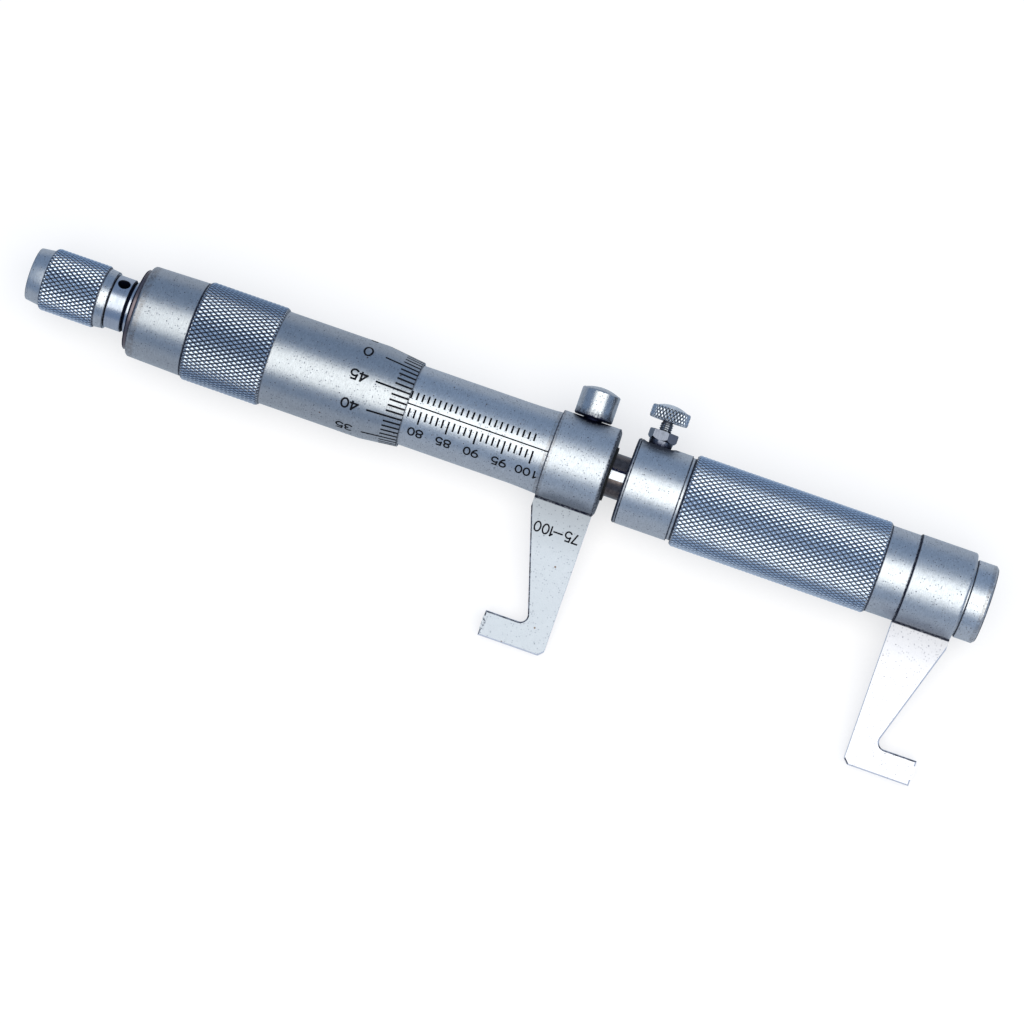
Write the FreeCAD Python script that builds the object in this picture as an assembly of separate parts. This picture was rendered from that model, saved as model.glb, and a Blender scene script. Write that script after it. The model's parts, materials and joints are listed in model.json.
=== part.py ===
import FreeCAD, Part

import math
import os

# Inside micrometer with caliper jaws, measuring range 75 to 100 mm, shown at 77.43 mm.
# It is drawn along its own axis: +X from the ratchet to the end cap, -Y towards the jaw tips and
# +Z towards the datum line. X = 0 is the left face of the fixed jaw's collar. When every piece is
# made, the instrument is rolled about its axis until the jaw tips and the thimble touch the ground.
# All sizes are in millimetres.

# Measuring range and reading
range_start = 75.0
range_span = 25.0
reading = 77.43
advance = reading - range_start

# Clearances
seat_gap = 0.02
running_gap = 0.03
guide_gap = 0.04
thimble_gap = 0.15
end_gap = 0.5
face_gap = 0.02

# Fixed jaw collar
collar_radius = 7.85
collar_length = 10.53
collar_end_bevel = 0.3
collar_end_drop = 0.55
edge_break = 0.15

# Jaw plates, the same section on both jaws
jaw_drop = 33.2
jaw_thickness = 3.0
jaw_web = 4.1
jaw_tip_height = 4.4
jaw_inner_fillet = 1.3
jaw_corner = 0.8
jaw_edge_break = 0.25
fixed_jaw_root = 10.2
fixed_jaw_reach = 1.49
fixed_jaw_shoulder = 1.7
moving_jaw_reach = 1.64
moving_jaw_shoulder = 1.5
insert_depth = 0.8
insert_height = 2.4
insert_rise = 1.1
insert_proud = 0.08

# Graduated sleeve and the threaded sleeve inside it
sleeve_radius = 7.1
sleeve_end_radius = 7.335
sleeve_flare_length = 6.1
sleeve_rear_inset = 0.5
core_radius = 5.8
core_spigot = 3.0
nut_thread_length = 14.0
taper_length = 8.6
taper_radius = 5.2
slot_width = 0.8
slot_count = 3
slot_length = 11.0
adjusting_nut_radius = 6.7
adjusting_nut_length = 6.5
adjusting_nut_inset = 0.8
wrench_hole_radius = 0.75
wrench_hole_depth = 1.1
wrench_hole_from_collar = 5.0

# Guide rod, keyway and seal
rod_radius = 3.825
rod_tail = 2.0
keyway_width = 1.5
keyway_depth = 0.9
seal_radius = 4.75
seal_thickness = 1.2
seal_proud = 0.4

# Screw that holds the rod in the collar
clamp_screw_from_face = 4.96
clamp_cap_radius = 3.385
clamp_cap_bottom = 8.0
clamp_cap_height = 4.86
clamp_cap_crown = 0.64
clamp_cap_edge = 0.2
clamp_dome_radius = 3.0
clamp_stud_radius = 1.65
clamp_dog_radius = 1.0
clamp_dog_depth = 0.45

# Spindle
spindle_radius = 2.2
spindle_thread_radius = 3.5
spindle_taper_radius = 3.9
spindle_tail_radius = 3.6
spindle_tail = 0.3
spindle_neck_radius = 1.5
centre_cup_radius = 0.8

# Thimble
thimble_edge_from_collar = 27.57
thimble_edge_radius = 7.535
thimble_bevel_length = 6.6
thimble_radius = 8.3
thimble_front_length = 18.2
thimble_knurl_length = 14.3
thimble_knurl_radius = 8.8
thimble_rear_length = 10.07
thimble_shoulder_radius = 8.35
thimble_rear_radius = 8.1
thimble_rear_round = 0.5
thimble_wall_length = 3.0
thimble_knurl_depth = 0.22
thimble_knurl_count = 56
thimble_knurl_angle = 27.5

# Washer and ratchet body behind the thimble
washer_radius = 7.15
washer_thickness = 0.85
ratchet_groove_radius = 3.95
ratchet_groove_width = 0.5
ratchet_disc_radius = 4.6
ratchet_disc_width = 0.35
ratchet_neck_radius = 4.665
ratchet_neck_length = 2.95
ratchet_stud_radius = 1.75
ratchet_stud_length = 9.0
spanner_hole_radius = 1.1
spanner_hole_depth = 2.2
spanner_hole_angle = 45.0
stem_radius = 2.4
stem_length = 10.2

# Ratchet teeth, pawl and its spring
tooth_count = 16
tooth_depth = 0.3
tooth_ramp = 1.05
tooth_land = 0.25
tooth_rim = 0.4
pawl_orbit = 3.55
pawl_radius = 0.72
pawl_length = 3.3
pawl_tip_reach = 1.0
pawl_spring_length = 3.4
pawl_spring_radius = 0.5
pawl_spring_wire = 0.1
pawl_spring_turns = 7

# Ratchet knob and its screw
knob_gap = 0.16
knob_ring_length = 1.68
knob_ring_front_radius = 5.025
knob_ring_rear_radius = 5.2
knob_knurl_length = 9.87
knob_knurl_radius = 5.55
knob_knurl_depth = 0.2
knob_knurl_count = 36
knob_knurl_angle = 30.0
knob_nose_length = 2.68
knob_nose_radius = 4.95
knob_end_radius = 4.6
knob_screw_head_radius = 3.05
knob_screw_head_height = 1.4
knob_screw_radius = 1.0
knob_screw_length = 5.0
knob_recess_gap = 0.15
screw_slot_width = 0.6
screw_slot_depth = 0.6

# Grip tube of the sliding half
closed_gap = 0.6
tube_radius = 7.57
tube_front_length = 9.8
tube_end_bevel = 0.25
tube_line_from_face = 0.55
tube_line_width = 0.14
tube_line_depth = 0.15
tube_groove_width = 0.7
tube_groove_radius = 7.3
grip_radius = 8.15
grip_knurl_depth = 0.2
grip_knurl_count = 42
grip_knurl_angle = 32.0
tube_rear_radius = 7.65
tube_rear_length = 5.14
spigot_radius = 6.0
tube_chamber_radius = 4.5
tube_chamber_length = 3.66

# Guide key
key_from_face = 0.75
key_length = 5.0
key_height = 2.2

# Moving jaw collar and end cap
moving_collar_radius = 7.9
moving_collar_length = 10.1
moving_collar_round = 0.5
cap_gap = 0.35
cap_neck_radius = 6.4
cap_radius = 6.9
cap_length = 3.7
cap_bevel = 0.45
cap_plug_length = 3.96

# Thrust end of the spindle
thrust_bush_length = 6.1
thrust_spring_space = 1.0
thrust_spring_thickness = 0.35
thrust_spring_radius = 3.5
spindle_nut_radius = 3.6
spindle_nut_length = 2.5
spindle_end_proud = 0.3
ball_radius = 1.2

# Lock screw, its hexagonal bush and brass pad
lock_from_face = 3.7
bush_across_flats = 4.5
spot_face_depth = 0.27
bush_height = 2.6
bush_bevel = 0.15
bush_corner_drop = 0.4
bush_foot_height = 0.9
bush_foot_top_radius = 2.12
bush_foot_radius = 2.0
bush_turn = 10.0
bush_stub_radius = 1.7
bush_stub_length = 2.2
spot_face_radius = 2.95
lock_thread_radius = 1.15
lock_thread_shown = 1.8
lock_head_radius = 3.43
lock_head_height = 2.2
lock_head_crown = 0.7
lock_head_bevel = 0.2
lock_dome_radius = 2.8
lock_pad_radius = 0.9
lock_pad_height = 1.5
lock_pad_gap = 0.12

# Places along the axis, worked out from the sizes above
fixed_face = -fixed_jaw_reach
moving_face = fixed_face + reading
thimble_edge = -thimble_edge_from_collar + advance
bevel_start = thimble_edge - thimble_bevel_length
knurl_front = bevel_start - thimble_front_length
knurl_rear = knurl_front - thimble_knurl_length
thimble_rear = knurl_rear - thimble_rear_length
thimble_wall = thimble_rear + thimble_wall_length
washer_rear = thimble_rear - washer_thickness
neck_front = washer_rear - 2 * ratchet_groove_width - ratchet_disc_width
neck_rear = neck_front - ratchet_neck_length
knob_front = neck_rear - knob_gap
knob_knurl_front = knob_front - knob_ring_length
knob_knurl_rear = knob_knurl_front - knob_knurl_length
knob_rear = knob_knurl_rear - knob_nose_length
stem_end = neck_rear - stem_length

rest_of_travel = range_span - advance
core_rear = thimble_wall + rest_of_travel + end_gap
thread_front = -rod_tail - rest_of_travel - end_gap
sleeve_rear = core_rear + taper_length + sleeve_rear_inset

tube_face = collar_length + closed_gap + advance
moving_collar = moving_face - moving_jaw_reach - moving_collar_length
grip_end = moving_collar - tube_rear_length
grip_start = tube_face + tube_front_length + tube_groove_width
moving_collar_end = moving_collar + moving_collar_length
cap_face = moving_collar_end + cap_gap
cap_end = cap_face + cap_length
tube_end = moving_collar_end - edge_break
chamber_start = moving_collar - tube_chamber_length
bush_end = chamber_start + thrust_bush_length
spindle_step = bush_end + thrust_spring_space
spindle_end = spindle_step + spindle_nut_length + spindle_end_proud
ball_centre = spindle_end + math.sqrt(ball_radius ** 2 - centre_cup_radius ** 2)
plug_start = cap_face - cap_plug_length
rod_front = chamber_start - advance - end_gap
lock_station = tube_face + lock_from_face
bush_bottom = tube_radius - spot_face_depth

rod_bore_radius = spindle_radius + running_gap + seat_gap
tube_bore_radius = rod_radius + guide_gap
thimble_bore_radius = sleeve_radius + thimble_gap
nut_bore_radius = spindle_thread_radius + running_gap


def point(x, y, z):
    return FreeCAD.Vector(x, y, z)


def turned(outline):
    """Solid of revolution about the instrument's axis, from (station, radius) corners."""
    corners = [point(x, radius, 0) for x, radius in outline]
    face = Part.Face(Part.makePolygon(corners + corners[:1]))
    return face.revolve(point(0, 0, 0), point(1, 0, 0), 360)


def rod(start, end, radius):
    """Plain cylinder on the axis."""
    return Part.makeCylinder(radius, end - start, point(start, 0, 0), point(1, 0, 0))


def knurled(outline, front, rear, peak, depth, count, groove_angle):
    """Solid of revolution with a crossed knurl between two stations.

    The outline's corners run from the knurl's front end, round the piece, to the knurl's rear end. The
    knurl has count diamonds round the axis, each a low four-sided pyramid, between crossed grooves at
    groove_angle to the axis."""
    root = peak - depth
    diamond_length = 2 * math.pi * peak / count / math.tan(math.radians(groove_angle))
    rows = 2 * round((front - rear) / diamond_length)
    columns = 2 * count

    def corner(row, column):
        high = (row + column) % 2 == 0 and 0 < row < rows
        radius = peak if high else root
        angle = 2 * math.pi * (column % columns) / columns
        station = rear + (front - rear) * row / rows
        return point(station, radius * math.sin(angle), radius * math.cos(angle))

    facets = []
    for row in range(rows):
        for column in range(columns):
            near, near_next = corner(row, column), corner(row, column + 1)
            far, far_next = corner(row + 1, column), corner(row + 1, column + 1)
            if (row + column) % 2 == 0:
                halves = [(near, near_next, far), (near_next, far_next, far)]
            else:
                halves = [(near, near_next, far_next), (near, far_next, far)]
            for half in halves:
                facets.append(Part.Face(Part.makePolygon([*half, half[0]])))

    ends = []
    for row, (station, radius) in ((rows, outline[0]), (0, outline[-1])):
        rim = Part.makePolygon([corner(row, column) for column in range(columns + 1)])
        circle = Part.Wire(Part.makeCircle(radius, point(station, 0, 0), point(1, 0, 0)))
        ends.append(Part.Face([rim, circle]))
    profile = Part.makePolygon([point(x, 0, radius) for x, radius in outline])
    rest = profile.revolve(point(0, 0, 0), point(1, 0, 0), 360)
    skin = Part.Compound(facets + ends + rest.Faces)
    skin.sewShape()
    return Part.Solid(skin.Shells[0]).removeSplitter()


def upright(x, bottom, top, radius):
    """Plain cylinder square to the axis, towards +Y."""
    return Part.makeCylinder(radius, top - bottom, point(x, bottom, 0), point(0, 1, 0))


def block(x_range, y_range, z_range):
    size = [high - low for low, high in (x_range, y_range, z_range)]
    return Part.makeBox(*size, point(x_range[0], y_range[0], z_range[0]))


def about_axis(shape, angle):
    return shape.rotated(point(0, 0, 0), point(1, 0, 0), angle)


def turned_upright(x, outline):
    """Solid of revolution about an upright axis at a station, from (radius, height) corners."""
    corners = [point(x + radius, y, 0) for radius, y in outline]
    face = Part.Face(Part.makePolygon(corners + corners[:1]))
    return face.revolve(point(x, 0, 0), point(0, 1, 0), 360)


def crowned_button(x, bottom, height, crown, radius, bevel, dome_radius):
    """Round button square to the axis, with bevelled edges, a flat shoulder and a low dome on top."""
    top = bottom + height
    outline = Part.makePolygon([
        point(x, top, 0),
        point(x, bottom, 0),
        point(x + radius - bevel, bottom, 0),
        point(x + radius, bottom + bevel, 0),
        point(x + radius, top - bevel, 0),
        point(x + radius - bevel, top, 0),
        point(x + dome_radius, top, 0),
    ])
    sphere_radius = (dome_radius ** 2 + crown ** 2) / (2 * crown)
    half = math.asin(dome_radius / sphere_radius) / 2
    middle_x = x + sphere_radius * math.sin(half)
    middle_y = top + crown - sphere_radius * (1 - math.cos(half))
    dome = Part.Arc(point(x + dome_radius, top, 0), point(middle_x, middle_y, 0), point(x, top + crown, 0))
    stem = Part.LineSegment(point(x, top + crown, 0), point(x, top, 0))
    face = Part.Face(Part.Wire(outline.Edges + [dome.toShape(), stem.toShape()]))
    return face.revolve(point(x, 0, 0), point(0, 1, 0), 360)


def coil(start, turns, length, mean_radius, wire_radius):
    """Coil spring along the axis."""
    pitch = (length - 2 * wire_radius) / turns
    path = Part.makeHelix(pitch, pitch * turns, mean_radius)
    wire = Part.makeCircle(wire_radius, point(mean_radius, 0, 0), point(0, 1, 0))
    spring = Part.Wire(path).makePipeShell([Part.Wire(wire)], True, True)
    spring.rotate(point(0, 0, 0), point(0, 1, 0), 90)
    spring.translate(point(start + wire_radius, 0, 0))
    return spring


def sleeve():
    """Graduated sleeve, flared by a gentle curve to meet the collar."""
    bore = core_radius + seat_gap
    start = point(-sleeve_flare_length, sleeve_radius, 0)
    end = point(0, sleeve_end_radius, 0)
    curve = Part.BezierCurve()
    curve.setPoles([start, point(-sleeve_flare_length / 2, sleeve_radius, 0), end])
    flare = curve.toShape()
    rest = Part.makePolygon([
        end,
        point(0, bore, 0),
        point(sleeve_rear, bore, 0),
        point(sleeve_rear, sleeve_radius - edge_break, 0),
        point(sleeve_rear + edge_break, sleeve_radius, 0),
        start,
    ])
    body = Part.Face(Part.Wire([flare] + rest.Edges)).revolve(point(0, 0, 0), point(1, 0, 0), 360)
    wrench_hole = Part.makeCylinder(
        wrench_hole_radius,
        2 * wrench_hole_depth,
        point(-wrench_hole_from_collar, 0, -sleeve_radius - wrench_hole_depth),
        point(0, 0, 1),
    )
    return body.cut(wrench_hole)


def inner_sleeve():
    """Threaded sleeve: split taper and nut thread at the rear, seat for the guide rod in front."""
    nut_end = core_rear + nut_thread_length
    taper_end = core_rear + taper_length
    clear_bore = spindle_thread_radius + thimble_gap + end_gap / 2
    body = turned([
        (core_rear, nut_bore_radius),
        (core_rear, taper_radius - edge_break),
        (core_rear + edge_break, taper_radius),
        (taper_end, taper_radius),
        (taper_end, core_radius),
        (core_spigot, core_radius),
        (core_spigot, rod_radius + seat_gap),
        (-rod_tail, rod_radius + seat_gap),
        (-rod_tail, spindle_thread_radius + thimble_gap),
        (-rod_tail - end_gap, clear_bore),
        (nut_end, clear_bore),
        (nut_end, nut_bore_radius),
    ])
    slot = block(
        (core_rear - edge_break, core_rear + slot_length),
        (0, core_radius + edge_break),
        (-slot_width / 2, slot_width / 2),
    )
    slots = [about_axis(slot, 360 * i / slot_count) for i in range(slot_count)]
    return body.cut(slots)


def adjusting_nut():
    """Round nut that closes the split taper, with four spanner notches in its rear face."""
    start = core_rear + adjusting_nut_inset
    end = start + adjusting_nut_length
    body = turned([
        (start, taper_radius + seat_gap),
        (start, adjusting_nut_radius - edge_break),
        (start + edge_break, adjusting_nut_radius),
        (end - edge_break, adjusting_nut_radius),
        (end, adjusting_nut_radius - edge_break),
        (end, taper_radius + seat_gap),
    ])
    notch = block(
        (start - edge_break, start + slot_width),
        (taper_radius, adjusting_nut_radius + edge_break),
        (-slot_width / 2, slot_width / 2),
    )
    return body.cut([about_axis(notch, 90 * i) for i in range(4)])


def jaw_plate(straight_x, root_width, face_x, towards, shoulder_y):
    """Flat jaw: straight outer edge, slanted inner edge and a hooked tip with a square end."""
    tip_top = -(jaw_drop - jaw_tip_height)
    web_x = straight_x + towards * jaw_web
    root_x = straight_x + towards * root_width
    end_x = face_x - towards * insert_proud
    corners = [
        (straight_x, 0),
        (root_x, 0),
        (root_x, shoulder_y),
        (web_x, tip_top),
        (end_x, tip_top),
        (end_x, -jaw_drop),
        (straight_x + towards * jaw_corner, -jaw_drop),
        (straight_x, -jaw_drop + jaw_corner),
    ]
    back = -jaw_thickness / 2
    outline = [point(x, y, back) for x, y in corners]
    plate = Part.Face(Part.makePolygon(outline + outline[:1])).extrude(point(0, 0, jaw_thickness))
    inner = [edge for edge in plate.Edges if on_line(edge, web_x, tip_top)]
    plate = plate.makeFillet(jaw_inner_fillet, inner)
    rims = [edge for edge in plate.Edges if on_rim(edge)]
    return plate.makeChamfer(jaw_edge_break, rims)


def on_line(edge, x, y):
    """True for an edge that runs along Z through (x, y)."""
    ends = [vertex.Point for vertex in edge.Vertexes]
    return all(math.hypot(end.x - x, end.y - y) < 1e-6 for end in ends)


def on_rim(edge):
    """True for an edge in the front or back face of a jaw plate, below the middle of its collar."""
    box = edge.BoundBox
    flat = box.ZLength < 1e-6 and abs(abs(box.ZMin) - jaw_thickness / 2) < 1e-6
    return flat and box.YMax < -1e-6


def insert_seat(face_x, towards):
    """Carbide insert at a jaw's measuring face, and the notch in the plate is the same block."""
    low = -jaw_drop + insert_rise
    x_range = sorted((face_x, face_x - towards * insert_depth))
    half = jaw_thickness / 2
    return block(x_range, (low, low + insert_height), (-half, half))


def fixed_jaw():
    """Collar and jaw in one piece, bored for the threaded sleeve, the rod, its screw and the seal."""
    end = collar_length
    outer = turned([
        (0, 0),
        (0, collar_radius),
        (end - collar_end_bevel, collar_radius),
        (end, collar_radius - collar_end_drop),
        (end, 0),
    ])
    outer = outer.makeFillet(edge_break, rim_edges(outer, 0, collar_radius))
    shoulder_y = -collar_radius - fixed_jaw_shoulder
    plate = jaw_plate(fixed_jaw_root, fixed_jaw_root, fixed_face, -1, shoulder_y)
    holes = [
        rod(-end_gap, core_spigot, core_radius + seat_gap),
        rod(0, end + end_gap, rod_radius + seat_gap),
        rod(end - seal_thickness + seal_proud, end + end_gap, seal_radius + seat_gap),
        upright(clamp_screw_from_face, 0, collar_radius + end_gap, clamp_stud_radius + seat_gap),
        insert_seat(fixed_face, -1),
    ]
    return outer.fuse(plate).removeSplitter().cut(holes)


def fixed_jaw_tip():
    return insert_seat(fixed_face, -1)


def guide_rod():
    """Hollow rod with its keyway towards the datum side and a dimple for the clamp screw."""
    bore = rod(-rod_tail - end_gap, rod_front + end_gap, rod_bore_radius)
    body = rod(-rod_tail, rod_front, rod_radius).cut(bore)
    keyway = block(
        (collar_length + seal_proud + edge_break, rod_front + end_gap),
        (-keyway_width / 2, keyway_width / 2),
        (rod_radius - keyway_depth, rod_radius + end_gap),
    )
    dimple = upright(
        clamp_screw_from_face,
        rod_radius - clamp_dog_depth - face_gap,
        rod_radius + end_gap,
        clamp_dog_radius + seat_gap,
    )
    return body.cut([keyway, dimple])


def rod_seal():
    """Flat wiper ring round the rod, let into the collar's end."""
    start = collar_length - seal_thickness + seal_proud
    ring = rod(start, collar_length + seal_proud, seal_radius)
    return ring.cut(rod(start - end_gap, collar_length + end_gap, rod_radius + seat_gap))


def rod_clamp_screw():
    """Smooth round-headed screw whose dog point holds the rod in the collar."""
    x = clamp_screw_from_face
    cap = crowned_button(
        x,
        clamp_cap_bottom,
        clamp_cap_height,
        clamp_cap_crown,
        clamp_cap_radius,
        clamp_cap_edge,
        clamp_dome_radius,
    )
    stud = upright(x, rod_radius + seat_gap, clamp_cap_bottom + end_gap, clamp_stud_radius)
    dog = upright(x, rod_radius - clamp_dog_depth, clamp_cap_bottom, clamp_dog_radius)
    return cap.fuse([stud, dog]).removeSplitter()


def spindle():
    """Spindle with its taper and thread at the rear and the plain rod that runs to the thrust end."""
    tail = thimble_rear - spindle_tail
    thread_start = thimble_wall + end_gap
    body = turned([
        (tail, 0),
        (tail, spindle_tail_radius),
        (thimble_rear, spindle_tail_radius),
        (thimble_wall, spindle_taper_radius),
        (thread_start, spindle_thread_radius),
        (thread_front - end_gap, spindle_thread_radius),
        (thread_front, spindle_radius),
        (spindle_step, spindle_radius),
        (spindle_step, spindle_neck_radius),
        (spindle_end, spindle_neck_radius),
        (spindle_end, centre_cup_radius),
        (spindle_end - centre_cup_radius, 0),
    ])
    tapped_end = washer_rear + ratchet_stud_length + end_gap
    tapped = rod(tail - end_gap, tapped_end, ratchet_stud_radius + seat_gap)
    return body.cut(tapped)


def spindle_nut():
    """Round nut on the spindle's end that carries the thrust spring."""
    end = spindle_step + spindle_nut_length
    return turned([
        (spindle_step, spindle_neck_radius + seat_gap),
        (spindle_step, spindle_nut_radius),
        (end - edge_break, spindle_nut_radius),
        (end, spindle_nut_radius - edge_break),
        (end, spindle_neck_radius + seat_gap),
    ])


def thimble():
    """Thimble: graduated bevel in front, knurled band, rounded rear wall with its taper seat."""
    outline = [
        (knurl_front, thimble_radius),
        (bevel_start, thimble_radius),
        (thimble_edge, thimble_edge_radius),
        (thimble_edge, thimble_bore_radius),
        (thimble_wall, thimble_bore_radius),
        (thimble_wall, spindle_taper_radius + seat_gap),
        (thimble_rear, spindle_tail_radius + seat_gap),
        (thimble_rear, thimble_rear_radius),
        (knurl_rear, thimble_shoulder_radius),
    ]
    body = knurled(
        outline,
        knurl_front,
        knurl_rear,
        thimble_knurl_radius,
        thimble_knurl_depth,
        thimble_knurl_count,
        thimble_knurl_angle,
    )
    return body.makeFillet(thimble_rear_round, rim_edges(body, thimble_rear, thimble_rear_radius))


def rim_edges(shape, x, radius):
    """The round edges of a turned piece at one station and radius."""
    found = []
    for edge in shape.Edges:
        box = edge.BoundBox
        at_station = box.XLength < 1e-4 and abs(box.XMin - x) < 1e-4
        if at_station and abs(box.YMax - radius) < 1e-4:
            found.append(edge)
    return found


def thimble_washer():
    """Thin ring between the thimble and the ratchet body."""
    return turned([
        (washer_rear, ratchet_stud_radius + seat_gap),
        (washer_rear, washer_radius - edge_break),
        (washer_rear + edge_break, washer_radius),
        (thimble_rear, washer_radius),
        (thimble_rear, spindle_tail_radius + seat_gap),
        (thimble_rear - spindle_tail, spindle_tail_radius + seat_gap),
        (thimble_rear - spindle_tail, ratchet_stud_radius + seat_gap),
    ])


def tooth_profile(depth, ramp, land):
    """Saw-tooth space: a square wall, a flat bottom and a ramp back to the face."""
    return [(0, 0), (depth, 0), (depth, land), (0, ramp)]


def radial_wedge(face_x, profile, inner, outer, direction):
    """Prism along the radius with a saw-tooth section, cut or raised from a flat face."""
    corners = [point(face_x + direction * x, inner, z) for x, z in profile]
    face = Part.Face(Part.makePolygon(corners + corners[:1]))
    return face.extrude(point(0, outer - inner, 0))


def ratchet_body():
    """Screw-in ratchet body: stud, disc between two grooves, neck with teeth, and the knob's stem."""
    disc_front = washer_rear - ratchet_groove_width
    disc_rear = disc_front - ratchet_disc_width
    flange = turned([
        (washer_rear, 0),
        (washer_rear, ratchet_groove_radius),
        (disc_front, ratchet_groove_radius),
        (disc_front, ratchet_disc_radius),
        (disc_rear, ratchet_disc_radius),
        (disc_rear, ratchet_groove_radius),
        (neck_front, ratchet_groove_radius),
        (neck_front, ratchet_neck_radius - edge_break),
        (neck_front - edge_break, ratchet_neck_radius),
        (neck_rear, ratchet_neck_radius),
        (neck_rear, 0),
    ])
    space = radial_wedge(
        neck_rear,
        tooth_profile(tooth_depth, tooth_ramp, tooth_land),
        stem_radius,
        ratchet_neck_radius - tooth_rim,
        1,
    )
    spaces = [about_axis(space, 360 * i / tooth_count) for i in range(tooth_count)]
    hole = Part.makeCylinder(
        spanner_hole_radius,
        2 * spanner_hole_depth,
        point(neck_front - ratchet_neck_length / 2, 0, ratchet_neck_radius - spanner_hole_depth),
        point(0, 0, 1),
    )
    hole = about_axis(hole, -spanner_hole_angle)
    stud = rod(washer_rear, washer_rear + ratchet_stud_length, ratchet_stud_radius)
    stem = rod(stem_end, neck_rear + tooth_depth, stem_radius)
    tapped = rod(stem_end - end_gap, stem_end + knob_screw_length + end_gap, knob_screw_radius + seat_gap)
    return flange.cut(spaces + [hole]).fuse([stud, stem]).removeSplitter().cut(tapped)


def pawl_place(shape):
    """Moves a piece made on the axis to the pawl's bore in the knob."""
    return shape.translated(point(0, pawl_orbit, 0))


def ratchet_knob():
    """Knurled knob with a conical nose, its bearing bore, the screw's recess and the pawl's bore."""
    bore = stem_radius + running_gap
    recess = knob_screw_head_radius + knob_recess_gap
    floor = stem_end + running_gap + seat_gap
    outline = [
        (knob_knurl_front, knob_ring_rear_radius),
        (knob_front - edge_break, knob_ring_front_radius),
        (knob_front, knob_ring_front_radius - edge_break),
        (knob_front, bore),
        (floor, bore),
        (floor, recess),
        (knob_rear, recess),
        (knob_rear, knob_end_radius - edge_break),
        (knob_rear + edge_break, knob_end_radius),
        (knob_knurl_rear, knob_nose_radius),
    ]
    body = knurled(
        outline,
        knob_knurl_front,
        knob_knurl_rear,
        knob_knurl_radius,
        knob_knurl_depth,
        knob_knurl_count,
        knob_knurl_angle,
    )
    depth = pawl_length + pawl_spring_length
    pawl_bore = pawl_place(rod(knob_front - depth, knob_front + end_gap, pawl_radius + running_gap))
    return body.cut(pawl_bore)


def ratchet_screw():
    """Slotted screw in the stem's end that keeps the knob on."""
    head_end = stem_end - knob_screw_head_height
    body = turned([
        (head_end, 0),
        (head_end, knob_screw_head_radius - edge_break),
        (head_end + edge_break, knob_screw_head_radius),
        (stem_end, knob_screw_head_radius),
        (stem_end, knob_screw_radius),
        (stem_end + knob_screw_length, knob_screw_radius),
        (stem_end + knob_screw_length, 0),
    ])
    slot = block(
        (head_end - end_gap, head_end + screw_slot_depth),
        (-knob_screw_head_radius - end_gap, knob_screw_head_radius + end_gap),
        (-screw_slot_width / 2, screw_slot_width / 2),
    )
    return body.cut(slot)


def ratchet_pawl():
    """Sprung pin with a chisel tip, drawn back just clear of the tooth crests as it slips."""
    face = neck_rear - running_gap - tooth_depth + seat_gap
    end = face - pawl_length + tooth_depth
    pin = pawl_place(rod(end, face, pawl_radius))
    profile = tooth_profile(tooth_depth - seat_gap, tooth_ramp / 2, tooth_land / 2)
    half = pawl_tip_reach / 2
    tip = radial_wedge(face, profile, pawl_orbit - half, pawl_orbit + half, 1)
    return pin.fuse(tip.translated(point(0, 0, 2 * running_gap)))


def pawl_spring():
    start = knob_front - pawl_length - pawl_spring_length + running_gap
    length = pawl_spring_length - tooth_depth
    spring = coil(start, pawl_spring_turns, length, pawl_spring_radius, pawl_spring_wire)
    return pawl_place(spring)


def grip_tube():
    """Sliding tube: smooth front with a fine turned line, knurled grip, rear collar seat and bores."""
    line = tube_face + tube_line_from_face
    line_floor = tube_radius - tube_line_depth
    groove = tube_face + tube_front_length
    outline = [
        (grip_end, tube_rear_radius),
        (moving_collar - edge_break, tube_rear_radius),
        (moving_collar, tube_rear_radius - edge_break),
        (moving_collar, spigot_radius),
        (tube_end, spigot_radius),
        (tube_end, tube_chamber_radius),
        (chamber_start, tube_chamber_radius),
        (chamber_start, tube_bore_radius),
        (tube_face, tube_bore_radius),
        (tube_face, tube_radius - tube_end_bevel),
        (tube_face + tube_end_bevel, tube_radius),
        (line, tube_radius),
        (line, line_floor),
        (line + tube_line_width, line_floor),
        (line + tube_line_width, tube_radius),
        (groove, tube_radius),
        (groove, tube_groove_radius),
        (grip_start, tube_groove_radius),
    ]
    body = knurled(
        outline, grip_end, grip_start, grip_radius, grip_knurl_depth, grip_knurl_count, grip_knurl_angle
    )
    half = keyway_width / 2
    key_slot = block(
        (tube_face - end_gap, tube_face + key_from_face + key_length + seat_gap),
        (-half + running_gap - seat_gap, half - running_gap + seat_gap),
        (0, key_top() + seat_gap),
    )
    bush_top = bush_bottom + bush_height
    bush_seat = upright(lock_station, bush_bottom, bush_top, spot_face_radius)
    stub_end = bush_bottom - bush_stub_length
    stub_hole = upright(lock_station, stub_end, bush_top, bush_stub_radius + seat_gap)
    pad_hole = upright(lock_station, 0, bush_bottom, lock_thread_radius + running_gap)
    return body.cut([key_slot, bush_seat, stub_hole, pad_hole])


def key_top():
    """Height of the guide key's outer face above the axis."""
    return rod_radius - keyway_depth + running_gap + key_height


def guide_key():
    """Feather key in the tube's front bore that runs in the rod's keyway."""
    half = keyway_width / 2 - running_gap
    start = tube_face + key_from_face
    return block((start, start + key_length), (-half, half), (key_top() - key_height, key_top()))


def hexagon(x, bottom, top, across_flats):
    """Hexagonal prism square to the axis."""
    corner = across_flats / math.sqrt(3)
    angles = [math.radians(60 * i + bush_turn) for i in range(6)]
    corners = [point(x + corner * math.cos(a), bottom, corner * math.sin(a)) for a in angles]
    face = Part.Face(Part.makePolygon(corners + corners[:1]))
    return face.extrude(point(0, top - bottom, 0))


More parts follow.
